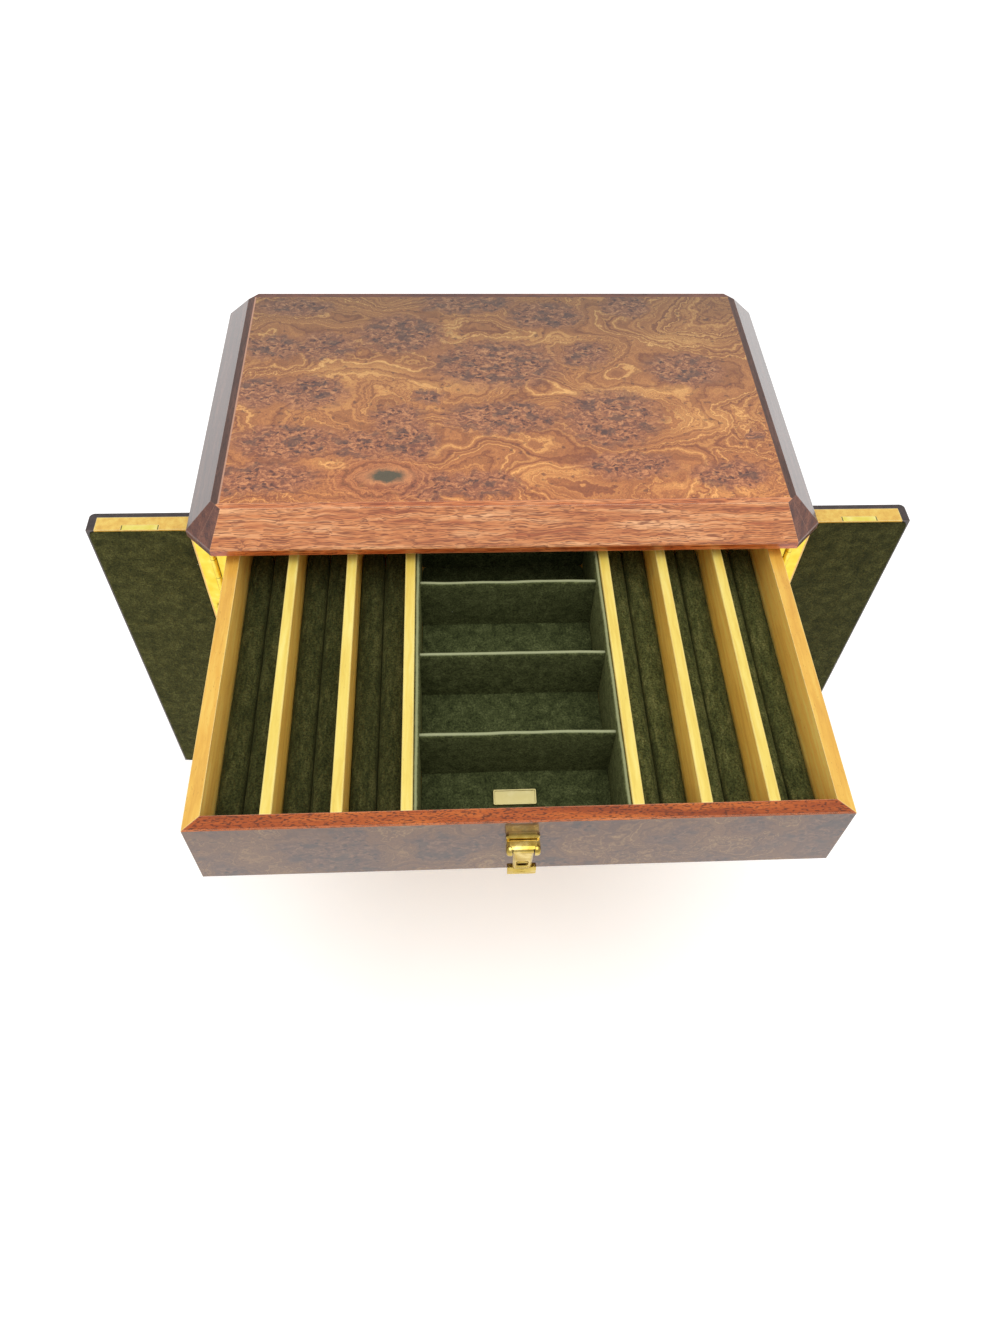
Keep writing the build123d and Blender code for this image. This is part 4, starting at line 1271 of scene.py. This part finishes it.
@dataclass
class DropPulls:
    """The four brass drop pulls: a flanged mount with two round ears, and a windowed drop."""

    count: int = 4
    plate_mm: float = 1.8           # thickness of the mount's plate
    pin_out_mm: float = 5.4         # from the drawer's face to the pin
    ear_mm: float = 3.1             # radius of an ear
    ear_thick_mm: float = 2.8
    barrel_mm: float = 2.0
    tab_mm: tuple = (10.0, 9.0, 1.8)    # width at the top, width at the foot, thickness
    window_mm: tuple = (5.4, 5.2)
    window_up_mm: float = 3.2           # the bar left under the window
    foot_high_mm: float = 6.4

    def build(self) -> None:
        """Make the pulls."""
        for number in range(1, self.count + 1):
            low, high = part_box(f"pull_{number}_mount")
            pin = (low.y + self.ear_mm * MM, (low.z + high.z) / 2)
            self.make_mount(number, low, high, pin)
            self.make_drop(number, high.x, pin)

    @staticmethod
    def turn(mesh: Mesh, axis: Pair, steps: list[Pair], points: int = 24) -> None:
        """Add a turned piece on a level axis across the chest.

        Args:
            mesh: the mesh to add to.
            axis: its axis in Y and Z.
            steps: pairs of place in X and radius, in metres.
            points: points to a turn.
        """
        skin(mesh, [[(x, axis[0] + radius * c, axis[1] + radius * s) for c, s in circle(points)]
                    for x, radius in steps])

    def make_mount(self, number: int, low: Vector, high: Vector, pin: Pair) -> None:
        """Make a mount: a bevelled plate with a raised rim, its two ears and the pin's heads.

        Args:
            number: the drawer's number.
            low: the mount's lowest corner.
            high: the mount's highest corner.
            pin: the pin's place in Y and Z.
        """
        mesh = bmesh.new()
        pin_y, pin_z = pin
        face = low.y + (self.pin_out_mm + self.ear_mm) * MM
        width, height = high.x - low.x, high.z - low.z
        plate = self.plate_mm * MM
        rings = []
        for shrink, out in ((0, 0), (0, 0.55), (0.35, 0.85), (0.8, 1), (1.5, 1), (1.9, 0.7)):
            outline = rounded_outline(width - 2 * shrink * MM, height - 2 * shrink * MM,
                                      max(1.6 - shrink, 0.3) * MM)
            rings.append([(px, face - plate * out, pin_z + pz) for px, pz in outline])
        skin(mesh, rings)
        ear, thick = self.ear_mm * MM, self.ear_thick_mm * MM
        for side in Side:
            outer = side.value * width / 2
            steps = ((1, 0.9), (1, 0.96), (0.9, 1.0), (0.5, 1.0), (0.25, 0.94), (0.08, 0.8),
                     (0, 0.62), (0.06, 0.54), (0.13, 0.40), (0.04, 0.34), (0.01, 0.18), (0, 0.05))
            self.turn(mesh, pin, [(outer - side.value * thick * x, ear * r) for x, r in steps])
            # the web that carries the ear from the plate
            web = ((face - plate * 0.6, 0.92), (pin_y, 0.95), (pin_y, -0.95),
                   (face - plate * 0.6, -0.92))
            skin(mesh, [[(outer - side.value * x, y, pin_z + ear * up) for y, up in web]
                        for x in (0.2 * MM, thick - 0.2 * MM)])
        # the bridge from ear to ear, over the barrel
        bridge = [(plate * 0.6, 3.0), (5.2 * MM, 3.08), (6.2 * MM, 2.9), (6.7 * MM, 2.6),
                  (6.3 * MM, 2.36), (plate * 0.6, 2.36)]
        reach = width / 2 - thick * 0.6
        skin(mesh, [[(x, face - out, pin_z + up * MM) for out, up in bridge]
                    for x in (-reach, reach)])
        self.finish(mesh, f"pull_{number}_flanged_mount", f"drawer_{number}",
                    f"pull_{number}_mount")

    def make_drop(self, number: int, edge: float, pin: Pair) -> None:
        """Make a drop: a barrel, a bevelled tab with a window and its bar, and a T-shaped foot.

        Args:
            number: the drawer's number.
            edge: the mount's outer edge in X.
            pin: the pin's place in Y and Z.
        """
        low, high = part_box(f"pull_{number}_drop")
        mesh = bmesh.new()
        half = edge - self.ear_thick_mm * MM - 0.25 * MM
        barrel, thick = self.barrel_mm * MM, self.tab_mm[2] * MM
        self.turn(mesh, pin, [(-half, barrel * 0.8), (-half + 0.3 * MM, barrel),
                              (half - 0.3 * MM, barrel), (half, barrel * 0.8)])
        foot_top = low.z + self.foot_high_mm * MM
        self.make_tab(mesh, pin[0] - barrel + thick / 2, pin[1], foot_top, thick)
        self.make_foot(mesh, low, high, foot_top)
        self.finish(mesh, f"pull_{number}_hanging_drop", f"pull_{number}", f"pull_{number}_drop")

    def make_tab(self, mesh: Mesh, y: float, pin_z: float, foot_top: float, thick: float) -> None:
        """Add the tab.

        Args:
            mesh: the mesh to add to.
            y: the tab's middle plane.
            pin_z: the height of the pin.
            foot_top: where the foot begins.
            thick: the tab's thickness.
        """
        wide, narrow = (w / 2 * MM for w in self.tab_mm[:2])
        head, tail = pin_z + 0.6 * MM, foot_top - 0.6 * MM
        win_w, win_h = (w * MM for w in self.window_mm)
        win_mid = foot_top + self.window_up_mm * MM + win_h / 2

        def outer(shrink: float, out: float) -> list[Point]:
            """Give the tab's outline.

            Args:
                shrink: how far it is drawn in.
                out: how far it is moved out.
            Returns:
                The outline's points.
            """
            ring = []
            for px, pz in rounded_outline(2.0, 2.0, 0.12):
                z = (head + tail) / 2 + pz * ((head - tail) / 2 - shrink)
                share = (z - tail) / (head - tail)
                ring.append((px * (narrow + (wide - narrow) * share - shrink), y - out, z))
            return ring

        def inner(grow: float, out: float) -> list[Point]:
            """Give the window's outline, widened and moved out."""
            return [(px * (1 + 2 * grow / win_w), y - out, win_mid + pz * (1 + 2 * grow / win_h))
                    for px, pz in rounded_outline(win_w, win_h, 0.9 * MM)]

        front, back = thick / 2, -thick / 2
        rings = [outer(0, back * 0.7), outer(0, front * 0.2), outer(0.9 * MM, front),
                 inner(0.35 * MM, front), inner(0, front * 0.6), inner(0, back * 0.7)]
        skin(mesh, rings + rings[:1], cap=False)
        # the bar across the window, and two beads under it
        for up, radius, out, share in ((0.12, 0.7, 0.1, 0.52), (-0.66, 0.32, 0.95, 0.62),
                                       (-0.80, 0.32, 0.95, 0.62)):
            self.turn(mesh, (y - front * out, win_mid + win_h * up),
                      [(win_w * share * x, radius * r * MM)
                       for x, r in ((-1, 0.6), (-0.8, 1), (0.8, 1), (1, 0.6))], 12)

    @staticmethod
    def make_foot(mesh: Mesh, low: Vector, top: Vector, foot_top: float) -> None:
        """Add the foot: side blocks with a dimple each, a scooped middle and two bead lines.

        Args:
            mesh: the mesh to add to.
            low: the drop's lowest corner.
            top: the drop's highest corner.
            foot_top: the height of the foot's upper side.
        """
        half, height = (top.x - low.x) / 2, foot_top - low.z
        mid_y, deep = (low.y + top.y) / 2, (top.y - low.y) / 2
        profile = [(0.55, 1.0), (0.85, 0.85), (1.0, 0.6), (1.0, 0.46), (0.93, 0.40), (1.0, 0.34),
                   (1.0, 0.22), (0.93, 0.16), (0.98, 0.08), (0.8, 0.0)]
        # for each place from the middle: how far its face, its upper part and its top draw back
        cuts = [(0.0, 1.0, 0.80, 0.55), (0.3, 1.0, 0.80, 0.55), (0.5, 1.0, 0.9, 0.8),
                (0.56, 1.0, 0.9, 0.8), (0.62, 1.0, 1.0, 1.0), (0.9, 1.0, 1.0, 1.0),
                (0.97, 0.97, 1.0, 1.0), (1.0, 0.9, 1.0, 1.0)]
        rows = []
        for share, end, scoop, drop in ([(-cut[0], *cut[1:]) for cut in cuts[:0:-1]] + cuts):
            x, behind = share * half, mid_y + deep * 0.7 * end
            rows.append([(x, mid_y - deep * out * end * (scoop if up > 0.5 else 1.0),
                          low.z + height * (up if up < 0.5 else 0.5 + (up - 0.5) * drop))
                         for out, up in profile])
            rows[-1] += [(x, behind, low.z + height * up) for up in (0.1, 0.8 * drop)]
        skin(mesh, rows)
        y, z = mid_y - deep * 0.18, foot_top - 0.04 * MM
        for x in (-half * 0.78, half * 0.78):
            skin(mesh, [[(x + c * r * MM, y + s * r * MM, z + up * MM) for c, s in circle(14)]
                        for r, up in ((1.0, -0.2), (0.95, 0.22), (0.72, 0.25), (0.62, 0.05),
                                      (0.06, 0.03))])

    @staticmethod
    def finish(mesh: Mesh, name: str, body: str, stands_for: str) -> None:
        """Turn a mesh into a brass piece with crisp but rounded edges."""
        piece = add_piece(mesh, name, body, CAST_BRASS, (stands_for,))
        piece.data.set_sharp_from_angle(angle=math.radians(32))


def clear_startup() -> None:
    """Remove what Blender's startup file holds."""
    for name in ("Cube", "Light", "Camera"):
        if name in bpy.data.objects:
            bpy.data.objects.remove(bpy.data.objects[name])


def main() -> None:
    """Build every sub-assembly in order."""
    logging.basicConfig(level=logging.INFO, format="%(name)s: %(message)s")
    clear_startup()
    for maker in (Studio(), Lid(), Plinth(), Carcass(), ContinuousHinges(), Doors(), TopDrawer(),
                  LowerDrawers(), DropPulls()):
        maker.build()
        LOG.info("%s done", type(maker).__name__)


if __name__ == "__main__":
    main()
